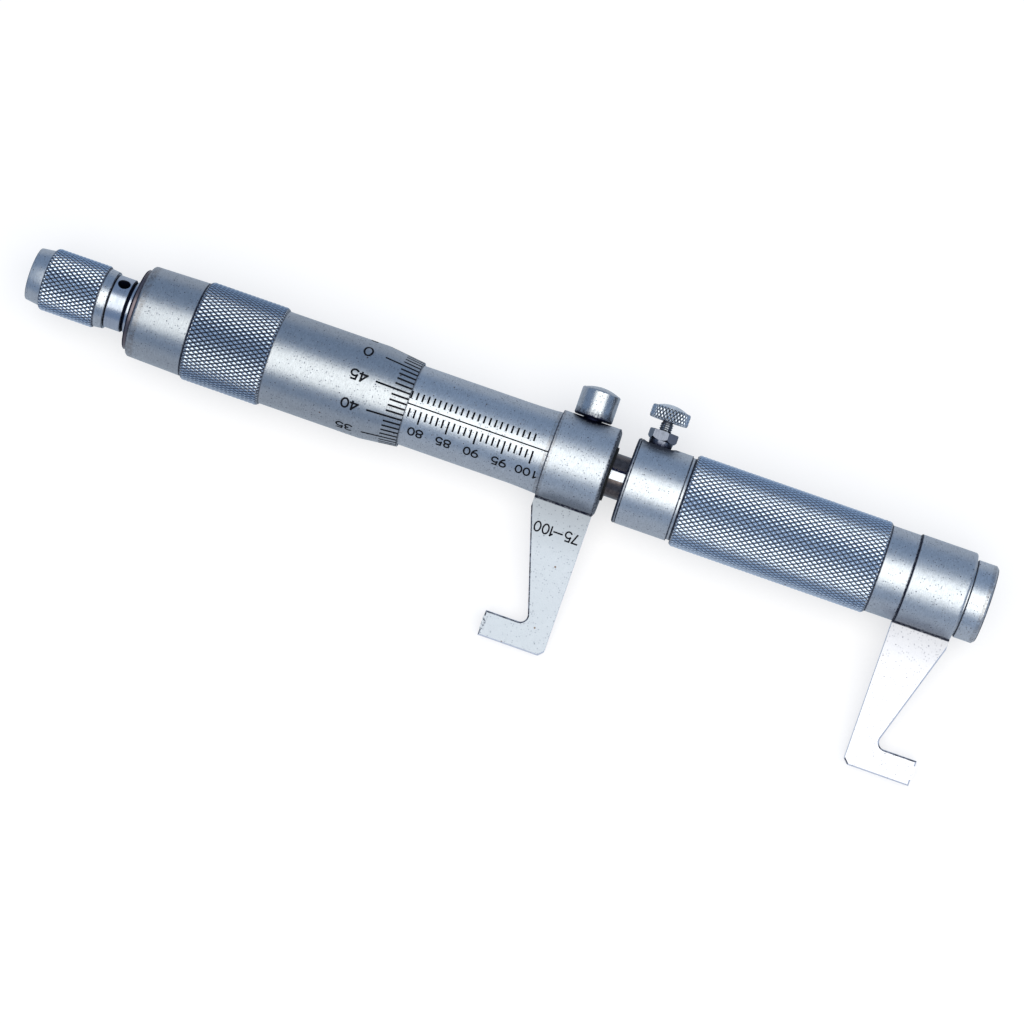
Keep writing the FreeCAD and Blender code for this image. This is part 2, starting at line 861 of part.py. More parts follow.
def lock_bush():
    """Hexagonal threaded bush for the lock screw, its corners turned down, on a narrower conical foot."""
    foot_top = bush_bottom + bush_foot_height
    top = bush_bottom + bush_height
    corner = bush_across_flats / math.sqrt(3)
    prism = hexagon(lock_station, foot_top, top, bush_across_flats)
    turning = turned_upright(lock_station, [
        (0, foot_top),
        (bush_across_flats / 2, foot_top),
        (corner, foot_top + bush_corner_drop),
        (corner, top - bush_bevel),
        (corner - bush_bevel, top),
        (0, top),
    ])
    foot = turned_upright(lock_station, [
        (0, bush_bottom),
        (bush_foot_radius, bush_bottom),
        (bush_foot_top_radius, foot_top),
        (0, foot_top),
    ])
    stub_end = bush_bottom - bush_stub_length + face_gap
    stub = upright(lock_station, stub_end, foot_top, bush_stub_radius)
    thread = upright(lock_station, 0, top + end_gap, lock_thread_radius + running_gap)
    return prism.common(turning).fuse([foot, stub]).removeSplitter().cut(thread)


def lock_pad():
    """Brass pad between the lock screw and the rod."""
    bottom = rod_radius + lock_pad_gap
    return upright(lock_station, bottom, bottom + lock_pad_height, lock_pad_radius)


def lock_screw():
    """Thumb screw with a round head, flat-shouldered under a low dome."""
    head_bottom = bush_bottom + bush_height + lock_thread_shown
    start = rod_radius + lock_pad_gap + lock_pad_height + face_gap
    stem = upright(lock_station, start, head_bottom + end_gap, lock_thread_radius)
    head = crowned_button(
        lock_station,
        head_bottom,
        lock_head_height,
        lock_head_crown,
        lock_head_radius,
        lock_head_bevel,
        lock_dome_radius,
    )
    return head.fuse(stem).removeSplitter()


def moving_jaw():
    """Collar and jaw in one piece, seated on the tube's spigot."""
    collar = turned([
        (moving_collar, spigot_radius + seat_gap),
        (moving_collar, moving_collar_radius - edge_break),
        (moving_collar + edge_break, moving_collar_radius),
        (moving_collar_end, moving_collar_radius),
        (moving_collar_end, spigot_radius + seat_gap),
    ])
    collar = collar.makeFillet(
        moving_collar_round, rim_edges(collar, moving_collar_end, moving_collar_radius)
    )
    shoulder_y = -moving_collar_radius - moving_jaw_shoulder
    plate = jaw_plate(moving_collar, moving_collar_length, moving_face, 1, shoulder_y)
    hole = rod(moving_collar - end_gap, moving_collar_end + end_gap, spigot_radius + seat_gap)
    return collar.fuse(plate.cut(hole)).removeSplitter().cut(insert_seat(moving_face, 1))


def moving_jaw_tip():
    return insert_seat(moving_face, 1)


def end_cap():
    """Cap screwed into the tube: its neck clamps the moving jaw's collar, its recess holds the ball."""
    recess = ball_centre + ball_radius + face_gap
    bore = ball_radius + running_gap + seat_gap
    return turned([
        (plug_start, bore),
        (plug_start, tube_chamber_radius - seat_gap),
        (moving_collar_end, tube_chamber_radius - seat_gap),
        (moving_collar_end, cap_neck_radius),
        (cap_face, cap_neck_radius),
        (cap_face, cap_radius - edge_break),
        (cap_face + edge_break, cap_radius),
        (cap_end - cap_bevel, cap_radius),
        (cap_end, cap_radius - cap_bevel),
        (cap_end, 0),
        (recess, 0),
        (recess, bore),
    ])


def thrust_bush():
    """Bronze bush that centres the spindle in the tube."""
    body = rod(chamber_start, bush_end, tube_chamber_radius - seat_gap)
    return body.cut(rod(chamber_start - end_gap, bush_end + end_gap, spindle_radius + running_gap))


def thrust_spring():
    """Conical spring washer between the bush and the spindle's nut."""
    start = bush_end + face_gap
    end = spindle_step - face_gap
    bore = spindle_radius + thimble_gap
    return turned([
        (start, bore),
        (start + thrust_spring_thickness, bore),
        (end, thrust_spring_radius),
        (end - thrust_spring_thickness, thrust_spring_radius),
    ])


def thrust_ball():
    return Part.makeSphere(ball_radius, point(ball_centre + face_gap, 0, 0))


def resting_roll():
    """Roll about the axis, in degrees, that brings the jaw tips down to the ground."""
    half = jaw_thickness / 2
    reach = math.hypot(jaw_drop, half)
    return math.degrees(math.asin(thimble_knurl_radius / reach) - math.atan2(half, jaw_drop))


makers = [
    sleeve,
    inner_sleeve,
    adjusting_nut,
    fixed_jaw,
    fixed_jaw_tip,
    guide_rod,
    rod_seal,
    rod_clamp_screw,
    spindle,
    spindle_nut,
    thimble,
    thimble_washer,
    ratchet_body,
    ratchet_screw,
    ratchet_knob,
    ratchet_pawl,
    pawl_spring,
    grip_tube,
    guide_key,
    lock_bush,
    lock_pad,
    lock_screw,
    moving_jaw,
    moving_jaw_tip,
    end_cap,
    thrust_bush,
    thrust_spring,
    thrust_ball,
]


def main():
    pieces = {}
    for maker in makers:
        pieces[maker.__name__] = about_axis(maker(), resting_roll())
    whole = Part.makeCompound(list(pieces.values()))
    box = whole.optimalBoundingBox(False, False)
    origin = point(-box.Center.x, -box.Center.y, -box.ZMin)
    print("axis at", origin.x, origin.y, origin.z, "roll", resting_roll())
    os.makedirs("parts", exist_ok=True)
    for name, piece in pieces.items():
        piece.translate(origin)
        if not piece.isValid() or len(piece.Solids) != 1:
            print("check", name, piece.isValid(), len(piece.Solids))
        piece.exportStep("parts/" + name + ".step")
    return origin


axis_origin = main()
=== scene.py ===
import json
import math

import bmesh
import bpy
import numpy as np
from mathutils import Matrix, Vector

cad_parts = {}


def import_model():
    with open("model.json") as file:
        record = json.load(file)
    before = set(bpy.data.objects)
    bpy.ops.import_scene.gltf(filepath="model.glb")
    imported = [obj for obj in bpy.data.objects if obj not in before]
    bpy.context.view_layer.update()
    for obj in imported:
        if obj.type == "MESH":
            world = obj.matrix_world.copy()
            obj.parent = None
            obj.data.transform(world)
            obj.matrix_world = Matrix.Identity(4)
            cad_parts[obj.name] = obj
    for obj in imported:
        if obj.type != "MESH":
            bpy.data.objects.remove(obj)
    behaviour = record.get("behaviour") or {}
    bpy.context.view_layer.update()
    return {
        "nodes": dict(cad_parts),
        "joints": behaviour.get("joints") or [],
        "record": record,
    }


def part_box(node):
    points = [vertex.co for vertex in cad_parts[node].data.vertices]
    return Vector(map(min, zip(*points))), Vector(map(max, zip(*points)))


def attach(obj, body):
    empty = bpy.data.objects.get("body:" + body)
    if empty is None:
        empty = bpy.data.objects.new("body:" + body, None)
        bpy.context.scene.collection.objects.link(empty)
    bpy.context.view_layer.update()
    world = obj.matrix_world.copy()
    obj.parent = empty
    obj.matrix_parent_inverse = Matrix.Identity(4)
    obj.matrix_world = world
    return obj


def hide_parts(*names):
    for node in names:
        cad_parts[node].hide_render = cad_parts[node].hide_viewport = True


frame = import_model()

# Inside micrometer with caliper jaws. Places are given in the instrument's own frame, in millimetres:
# x runs along the axis from the left face of the fixed jaw's collar, y towards the lock screw, z towards
# the datum line. An angle of 0 degrees faces the datum line, 90 degrees the lock screw, -90 the jaws.

MM = 0.001
joints = {joint["name"]: joint for joint in frame["joints"]}
axis_x = Vector((1, 0, 0))
axis_y = Vector(joints["lock_travel"]["axis"]).normalized()
axis_z = axis_x.cross(axis_y)
on_axis = Vector(joints["thimble_turn"]["pos_m"])
origin = Vector((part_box("sleeve")[1].x, on_axis.y, on_axis.z))


def world(x, y, z):
    """Row-frame point, in metres, of a place given in the instrument's frame in millimetres."""
    return origin + (axis_x * x + axis_y * y + axis_z * z) * MM


def span(node):
    """Lowest and highest station of a node along the axis, in millimetres."""
    low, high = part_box(node)
    return (low.x - origin.x) / MM, (high.x - origin.x) / MM


def reach(node):
    """Radius of a round node on the axis, in millimetres."""
    low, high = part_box(node)
    return (high.z - low.z) / 2 / MM


# Camera and picture

picture = 1024
roll_in_picture = math.radians(19.28)
camera_yaw = 0.0498
camera_at = (27.75, -11.57, 613.0)
focal_pixels = 3600.0
sensor_width = 36.0


def make_camera():
    data = bpy.data.cameras.new("camera")
    data.sensor_width = sensor_width
    data.lens = focal_pixels / picture * sensor_width
    data.clip_start = 0.01
    camera = bpy.data.objects.new("camera", data)
    bpy.context.scene.collection.objects.link(camera)
    level_right = axis_x * math.cos(camera_yaw) - axis_z * math.sin(camera_yaw)
    back = axis_x * math.sin(camera_yaw) + axis_z * math.cos(camera_yaw)
    right = level_right * math.cos(roll_in_picture) + axis_y * math.sin(roll_in_picture)
    up = axis_y * math.cos(roll_in_picture) - level_right * math.sin(roll_in_picture)
    matrix = Matrix((right, up, back)).transposed().to_4x4()
    matrix.translation = world(*camera_at)
    camera.matrix_world = matrix
    bpy.context.scene.camera = camera


# Stations and radii read from the model, and the sizes that the scene's own pieces need besides

thimble_rear, thimble_edge = span("thimble")
thimble_peak = reach("thimble")
knob_rear, knob_front = span("ratchet_knob")
knob_peak = reach("ratchet_knob")
washer_rear = span("thimble_washer")[0]
neck_to_washer = 1.35
neck_front = washer_rear - neck_to_washer
seal_overhang = 0.4
collar_end = span("rod_seal")[1] - seal_overhang
tube_face, tube_end = span("grip_tube")
grip_peak = reach("grip_tube")
cap_end = span("end_cap")[1]
cap_head_length = 3.7
cap_face = cap_end - cap_head_length

bevel_length = 6.6
front_length = 18.2
thimble_knurl_length = 14.3
edge_radius = 7.535
front_radius = 8.3
thimble_bore = 7.25
shoulder_radius = 8.35
rear_radius = 8.1
rear_round = 0.5
wall_length = 3.0
taper_seat = 3.9
bevel_start = thimble_edge - bevel_length
knurl_front = bevel_start - front_length
knurl_rear = knurl_front - thimble_knurl_length

ring_length = 1.68
knob_knurl_length = 9.87
ring_front_radius = 5.025
ring_rear_radius = 5.2
nose_radius = 4.95
nose_end_radius = 4.6
recess_radius = 3.2
stem_bore = 2.43
recess_depth = 4.24
knob_knurl_front = knob_front - ring_length
knob_knurl_rear = knob_knurl_front - knob_knurl_length

tube_radius = 7.57
tube_bevel = 0.25
line_from_face = 0.55
line_width = 0.14
line_depth = 0.15
groove_from_face = 9.8
groove_width = 0.7
groove_radius = 7.3
grip_length = 35.0
tube_rear_radius = 7.65
tube_rear_length = 5.14
spigot_radius = 6.0
tube_bore = 3.865
lock_from_face = 3.7
seat_rings = 41
spot_height = 7.3
spot_radius = 2.95
grip_start = tube_face + groove_from_face + groove_width
grip_end = grip_start + grip_length
moving_collar = grip_end + tube_rear_length
lock_station = tube_face + lock_from_face
clamp_station = sum(span("rod_clamp_screw")) / 2
clamp_head_bottom = 8.0

jaw_half_thickness = 1.5
jaw_root = 7.7
fixed_face = span("fixed_jaw_tip")[0]
keyway_half = 0.75

# Materials


class Nodes:
    """Short calls for building a material's nodes."""

    def __init__(self, name):
        self.material = bpy.data.materials.new(name)
        self.material.use_nodes = True
        self.tree = self.material.node_tree
        self.shader = self.tree.nodes["Principled BSDF"]

    def feed(self, socket, value):
        """Links a socket to another node's, or sets its value."""
        if isinstance(value, bpy.types.NodeSocket):
            self.tree.links.new(value, socket)
        else:
            socket.default_value = value

    def add(self, kind, inputs=None, **settings):
        node = self.tree.nodes.new("ShaderNode" + kind)
        for key, value in settings.items():
            setattr(node, key, value)
        for key, value in (inputs or {}).items():
            self.feed(node.inputs[key], value)
        return node

    def place(self):
        return self.add("TexCoord").outputs["Object"]

    def along(self, vector, axis):
        """Part of a vector along one of the instrument's axes."""
        return self.add("VectorMath", {0: vector, 1: axis}, operation="DOT_PRODUCT").outputs["Value"]

    def measured(self, place, axis):
        """A place's distance from the origin along one of the instrument's axes, in millimetres."""
        return self.math("DIVIDE", self.math("SUBTRACT", self.along(place, axis), origin.dot(axis)), MM)

    def facing(self, axis):
        """How far the surface faces along an axis, 1 where it faces straight along it."""
        return self.along(self.add("TexCoord").outputs["Normal"], axis)

    def math(self, operation, *values):
        return self.add("Math", dict(enumerate(values)), operation=operation).outputs[0]

    def times(self, value, *others):
        for other in others:
            value = self.math("MULTIPLY", value, other)
        return value

    def distance(self, vector, x, y, z):
        """Distance in millimetres from a place given in the instrument's frame."""
        apart = self.add("VectorMath", {0: vector, 1: world(x, y, z)}, operation="DISTANCE")
        return self.math("DIVIDE", apart.outputs["Value"], MM)

    def noise(self, vector, size, detail=2.0, roughness=0.5):
        """Noise whose grains are about a size in millimetres."""
        inputs = {"Vector": vector, "Scale": 1.0 / (size * MM), "Detail": detail, "Roughness": roughness}
        return self.add("TexNoise", inputs).outputs["Fac"]

    def streaks(self, vector, across, length, detail=2.0):
        """Noise drawn out round the instrument's axis."""
        ratio = across / length
        drawn = self.add("Mapping", {"Vector": vector, "Scale": (1.0, ratio, ratio)}).outputs["Vector"]
        return self.noise(drawn, across, detail, 0.6)

    def ramp(self, value, low, high, out_low=0.0, out_high=1.0):
        inputs = {"Value": value, "From Min": low, "From Max": high, "To Min": out_low, "To Max": out_high}
        return self.add("MapRange", inputs).outputs["Result"]

    def ragged(self, vector, size, low, high, *outs):
        """Coarse noise cut between two levels, to break up the edge of a stain."""
        return self.ramp(self.noise(vector, size, 3.0, 0.7), low, high, *outs)

    def mix(self, factor, one, two):
        return self.add("Mix", {0: factor, 6: one, 7: two}, data_type="RGBA").outputs[2]

    def bump(self, height, strength, distance):
        inputs = {"Height": height, "Strength": strength, "Distance": distance}
        return self.add("Bump", inputs).outputs["Normal"]

    def link(self, value, name):
        """Gives the shader's input of a name its value."""
        self.feed(self.shader.inputs[name], value)


def colour(red, green, blue):
    """Opaque linear colour."""
    return (red, green, blue, 1.0)


def scaled(tone, factor):
    return colour(*(channel * factor for channel in tone[:3]))


def specks(nodes, place, cell, size, share):
    """Small round spots: one in a share of the cells of a Voronoi pattern."""
    voronoi = nodes.add("TexVoronoi", {"Vector": place, "Scale": 1.0 / (cell * MM), "Randomness": 1.0})
    lot = nodes.add("SeparateColor", {"Color": voronoi.outputs["Color"]}).outputs[0]
    chosen = nodes.math("GREATER_THAN", lot, 1.0 - share)
    spot = nodes.ramp(voronoi.outputs["Distance"], size * 0.55, size, 1.0, 0.0)
    return nodes.times(spot, chosen)


def ring(station, half_width, strength=1.0, ragged=0.5, on_face=0.15):
    """Narrow ring round the axis, broken up by noise, and little of it on an end face. As a dark mark it is
    dirt with painted shade where parts meet; as rust it is a stain.
    """
    def source(nodes, place):
        offset = nodes.math("ABSOLUTE", nodes.math("SUBTRACT", nodes.measured(place, axis_x), station))
        line = nodes.ramp(offset, half_width * 0.6, half_width * 1.2, strength, 0.0)
        face = nodes.ramp(nodes.math("ABSOLUTE", nodes.facing(axis_x)), 0.75, 0.95, 1.0, on_face)
        return nodes.times(line, face, nodes.ragged(place, 0.5, 0.35, 0.6, 1 - ragged))
    return source


def band(nodes, place, start, end):
    """1 between two stations along the axis, 0 elsewhere."""
    station = nodes.measured(place, axis_x)
    return nodes.times(nodes.math("GREATER_THAN", station, start), nodes.math("LESS_THAN", station, end))


def foot(x, y, z, radius, strength=1.0):
    """Dark patch round the foot of a screw, ragged at its rim: painted shadow, with dirt."""
    def source(nodes, place):
        ragged = nodes.ragged(place, 0.5, 0.3, 0.7, -0.5, 0.5)
        offset = nodes.math("ADD", nodes.distance(place, x, y, z), ragged)
        return nodes.ramp(offset, radius - 0.6, radius, strength, 0.0)
    return source


def cluster(x, y, z, radius):
    """A patch of small spots that thins out away from a place."""
    def source(nodes, place):
        near = nodes.ramp(nodes.distance(place, x, y, z), radius * 0.3, radius, 1.0, 0.0)
        return nodes.times(specks(nodes, place, 0.5, 0.34, 0.6), near)
    return source


def on_collar(source):
    """The same mark, kept off the jaw's plate."""
    def kept(nodes, place):
        above = nodes.math("GREATER_THAN", nodes.measured(place, axis_y), -jaw_root)
        return nodes.times(source(nodes, place), above)
    return kept


def sunk(radius, strength=1.0):
    """Painted shade wherever the surface lies nearer to the instrument's axis than a radius."""
    def source(nodes, place):
        across = nodes.measured(place, axis_y)
        along = nodes.measured(place, axis_z)
        square = nodes.math("ADD", nodes.times(across, across), nodes.times(along, along))
        return nodes.ramp(nodes.math("SQRT", square), radius - 0.1, radius, strength, 0.0)
    return source


def below(height, depth, strength=1.0):
    """Darkening that thickens towards a height on the lock screw's side of the instrument: painted shadow
    low on a screw, where it meets the piece it stands in, with dirt.
    """
    def source(nodes, place):
        rise = nodes.math("SUBTRACT", nodes.measured(place, axis_y), height)
        ragged = nodes.ragged(place, 0.4, 0.3, 0.7, -0.4 * depth, 0.4 * depth)
        return nodes.ramp(nodes.math("ADD", rise, ragged), 0.0, depth, strength, 0.0)
    return source


def jaw_root_line(nodes, place):
    """Painted shade, with dirt, in the corner where a jaw's plate leaves its collar."""
    offset = nodes.math("ABSOLUTE", nodes.math("ADD", nodes.measured(place, axis_y), jaw_root))
    line = nodes.ramp(offset, 0.14, 0.3, 1.0, 0.0)
    return nodes.times(line, nodes.ragged(place, 0.6, 0.3, 0.55, 0.45))


def jaw_edges(nodes, place):
    """Painted shade, with some stain, on the broken edges of a jaw's plate, heavy on those that face the
    thimble and strong on those that face the lock screw's side.
    """
    up = nodes.facing(axis_z)
    edge = nodes.times(nodes.ramp(up, 0.97, 0.9), nodes.ramp(up, 0.3, 0.6))
    on_plate = nodes.ramp(nodes.measured(place, axis_y), -jaw_root - 0.3, -jaw_root - 0.1, 1.0, 0.0)
    left = nodes.ramp(nodes.facing(axis_x), -0.15, -0.4, 0.12, 1.0)
    side = nodes.math("MAXIMUM", left, nodes.ramp(nodes.facing(axis_y), 0.15, 0.4, 0.0, 0.9))
    return nodes.times(edge, on_plate, side, nodes.ragged(place, 0.7, 0.3, 0.6, 0.3))


def face_marks(nodes, place):
    """Small dark marks along the fixed jaw's measuring face."""
    end = nodes.ramp(nodes.measured(place, axis_x), fixed_face + 0.9, fixed_face + 0.3)
    return nodes.times(end, nodes.ragged(place, 0.5, 0.51, 0.56), 0.85)


def gather(nodes, place, sources):
    """The strongest of several sources of dark marks, dirt and painted shade, with the darkening in a
    knurl's grooves, which is dirt and painted shade too.
    """
    groove_dirt_and_shade = nodes.add("Attribute", attribute_name="groove_dirt_and_shade").outputs["Fac"]
    dirt_and_shade = nodes.ramp(groove_dirt_and_shade, 0.15, 0.9, 0.0, 1.0)
    for source in sources:
        dirt_and_shade = nodes.math("MAXIMUM", dirt_and_shade, source(nodes, place))
    return dirt_and_shade


# Near-black of the dark marks: dirt, and painted shade where parts meet and in grooves
soot_and_shade = colour(0.010, 0.012, 0.030)
rust_brown = colour(0.10, 0.055, 0.030)


def satin_metal(name, base, roughness, dirt_and_shade=(), rust=(), plate=None, knurl=None):
    """Satin chrome plate: grain round the axis, mottling, dark pits, rust specks, and dark marks of dirt and
    painted shade.

    The plate's tone is that of a jaw's flat part, darker towards the collar, a painted shade, with a light
    tone on its broken edges, a painted sheen.
    A knurled band, between two stations, is smoother, and lighter and colder, a painted sheen on its facets.
    """
    nodes = Nodes(name)
    place = nodes.place()
    mottle = nodes.noise(place, 1.1, 4.0, 0.65)
    grit = nodes.noise(place, 0.17, 2.0, 0.6)
    grain = nodes.streaks(place, 0.12, 0.8)
    tone = nodes.mix(nodes.ramp(mottle, 0.36, 0.64), scaled(base, 0.93), base)
    tone = nodes.mix(nodes.ramp(grain, 0.50, 0.72, 0.0, 0.40), tone, scaled(base, 0.55))
    tone = nodes.mix(nodes.ramp(grain, 0.48, 0.30, 0.0, 0.30), tone, scaled(base, 1.35))
    tone = nodes.mix(nodes.ramp(grit, 0.55, 0.70, 0.0, 0.50), tone, scaled(base, 0.45))
    if knurl:
        # A knurled band gets a lighter, colder tone: a painted sheen on its facets
        sheen_tone = colour(base[0] * 1.17, base[1] * 1.27, base[2] * 1.37)
        tone = nodes.mix(band(nodes, place, *knurl), tone, sheen_tone)
    on_plate = 0.0
    if plate:
        on_plate = nodes.ramp(nodes.measured(place, axis_y), -jaw_root + 0.3, -jaw_root - 0.3)
        # The plate is darker towards the collar: painted shade
        collar_shade = nodes.ramp(nodes.measured(place, axis_y), -jaw_root - 9.0, -jaw_root)
        level = nodes.mix(collar_shade, plate, scaled(plate, 0.66))
        level = nodes.mix(nodes.ramp(grit, 0.58, 0.70, 0.0, 0.30), level, scaled(plate, 0.6))
        # The plate's broken edges get a light tone: a painted sheen
        level = nodes.mix(nodes.ramp(nodes.facing(axis_z), 0.97, 0.9), level, colour(0.85, 0.82, 0.86))
        tone = nodes.mix(on_plate, tone, level)
    fine = nodes.times(specks(nodes, place, 0.4, 0.30, 0.42), 0.65)
    pits = nodes.times(specks(nodes, place, 0.9, 0.16, 0.33), 0.9)
    pits = nodes.times(nodes.math("MAXIMUM", fine, pits), nodes.ramp(on_plate, 0.0, 1.0, 1.0, 0.5))
    tone = nodes.mix(pits, tone, colour(0.05, 0.05, 0.075))
    rust_specks = nodes.times(specks(nodes, place, 2.2, 0.10, 0.2), 0.9)
    stains = nodes.math("MAXIMUM", gather(nodes, place, rust), rust_specks)
    tone = nodes.mix(stains, tone, rust_brown)
    black = gather(nodes, place, dirt_and_shade)
    nodes.link(nodes.mix(black, tone, soot_and_shade), "Base Color")
    nodes.link(1.0, "Metallic")
    rough = nodes.ramp(mottle, 0.3, 0.7, roughness - 0.015, roughness + 0.015)
    if knurl:
        rough = nodes.math("SUBTRACT", rough, nodes.times(band(nodes, place, *knurl), 0.16))
    rough = nodes.math("ADD", rough, nodes.times(nodes.math("MAXIMUM", pits, black), 0.3))
    nodes.link(rough, "Roughness")
    height = nodes.math("ADD", nodes.noise(place, 0.10), nodes.times(grain, 0.8))
    height = nodes.math("SUBTRACT", height, nodes.times(pits, 1.2))
    nodes.link(nodes.bump(height, 0.35, 0.04 * MM), "Normal")
    return nodes.material


def plain_metal(name, base, roughness, streak=0.36, dirt_and_shade=()):
    """Turned metal: rings of fine marks along the axis over a nearly even tone."""
    nodes = Nodes(name)
    place = nodes.place()
    marks = nodes.streaks(place, 0.12, 6.0, 3.0)
    cloud = nodes.noise(place, 1.6, 3.0, 0.6)
    worn = scaled(base, 1.0 - streak)
    tone = nodes.mix(nodes.ramp(marks, 0.4, 0.7, 0.0, 0.6), base, worn)
    tone = nodes.mix(nodes.ramp(cloud, 0.52, 0.75, 0.0, 0.7), tone, worn)
    tone = nodes.mix(specks(nodes, place, 0.8, 0.13, 0.2), tone, colour(0.08, 0.07, 0.07))
    black = gather(nodes, place, dirt_and_shade)
    nodes.link(nodes.mix(black, tone, soot_and_shade), "Base Color")
    nodes.link(1.0, "Metallic")
    rough = nodes.ramp(cloud, 0.3, 0.7, roughness - 0.02, roughness + 0.03)
    nodes.link(nodes.math("ADD", rough, nodes.times(black, 0.4)), "Roughness")
    nodes.link(nodes.bump(marks, 0.3, 0.01 * MM), "Normal")
    return nodes.material


def guide_rod_metal(name):
    """Oiled dark rod with a bright keyway floor, a painted highlight, and a ragged black stripe above it,
    painted shade with grease along its edge.
    """
    nodes = Nodes(name)
    place = nodes.place()
    across = nodes.measured(place, axis_y)
    outward = nodes.measured(place, axis_z)
    cloud = nodes.noise(place, 0.5, 4.0, 0.7)
    tone = nodes.mix(nodes.ramp(cloud, 0.35, 0.7), colour(0.13, 0.105, 0.10), colour(0.06, 0.05, 0.05))
    in_keyway = nodes.math("LESS_THAN", nodes.math("ABSOLUTE", across), keyway_half - 0.02)
    in_front = nodes.math("GREATER_THAN", outward, 0.0)
    keyway_floor = nodes.times(in_keyway, in_front)
    # The keyway floor is given a bright tone: a painted highlight
    floor_highlight = nodes.mix(nodes.ramp(cloud, 0.3, 0.7), colour(0.62, 0.64, 0.70), colour(0.45, 0.46, 0.50))
    tone = nodes.mix(keyway_floor, tone, floor_highlight)
    # A black stripe above the keyway: painted shade, with grease along its ragged edge
    upper_edge = nodes.math("ADD", keyway_half + 0.45, nodes.ragged(place, 0.35, 0.3, 0.7, -0.4, 0.3))
    below_edge = nodes.math("LESS_THAN", across, upper_edge)
    shade_stripe = nodes.times(below_edge, nodes.math("GREATER_THAN", across, keyway_half), in_front)
    nodes.link(nodes.mix(shade_stripe, tone, soot_and_shade), "Base Color")
    nodes.link(1.0, "Metallic")
    nodes.link(nodes.ramp(cloud, 0.3, 0.7, 0.24, 0.36), "Roughness")
    nodes.link(nodes.bump(nodes.streaks(place, 0.12, 6.0, 3.0), 0.3, 0.01 * MM), "Normal")
    return nodes.material


def paint(name, tone):
    """Black filler in the engraved lines and numbers, hardly worn."""
    nodes = Nodes(name)
    wear = nodes.ragged(nodes.place(), 0.3, 0.66, 0.82, 0.0, 0.25)
    nodes.link(nodes.mix(wear, tone, colour(0.05, 0.06, 0.08)), "Base Color")
    nodes.link(0.9, "Roughness")
    nodes.link(0.15, "Specular IOR Level")
    return nodes.material


def rubber(name):
    """Dull black rubber with dust in its grain."""
    nodes = Nodes(name)
    dust = nodes.noise(nodes.place(), 0.4, 3.0, 0.7)
    tone = nodes.mix(nodes.ramp(dust, 0.5, 0.8), colour(0.006, 0.006, 0.007), colour(0.03, 0.028, 0.025))
    nodes.link(tone, "Base Color")
    nodes.link(0.75, "Roughness")
    nodes.link(0.25, "Specular IOR Level")
    nodes.link(nodes.bump(dust, 0.4, 0.03 * MM), "Normal")
    return nodes.material


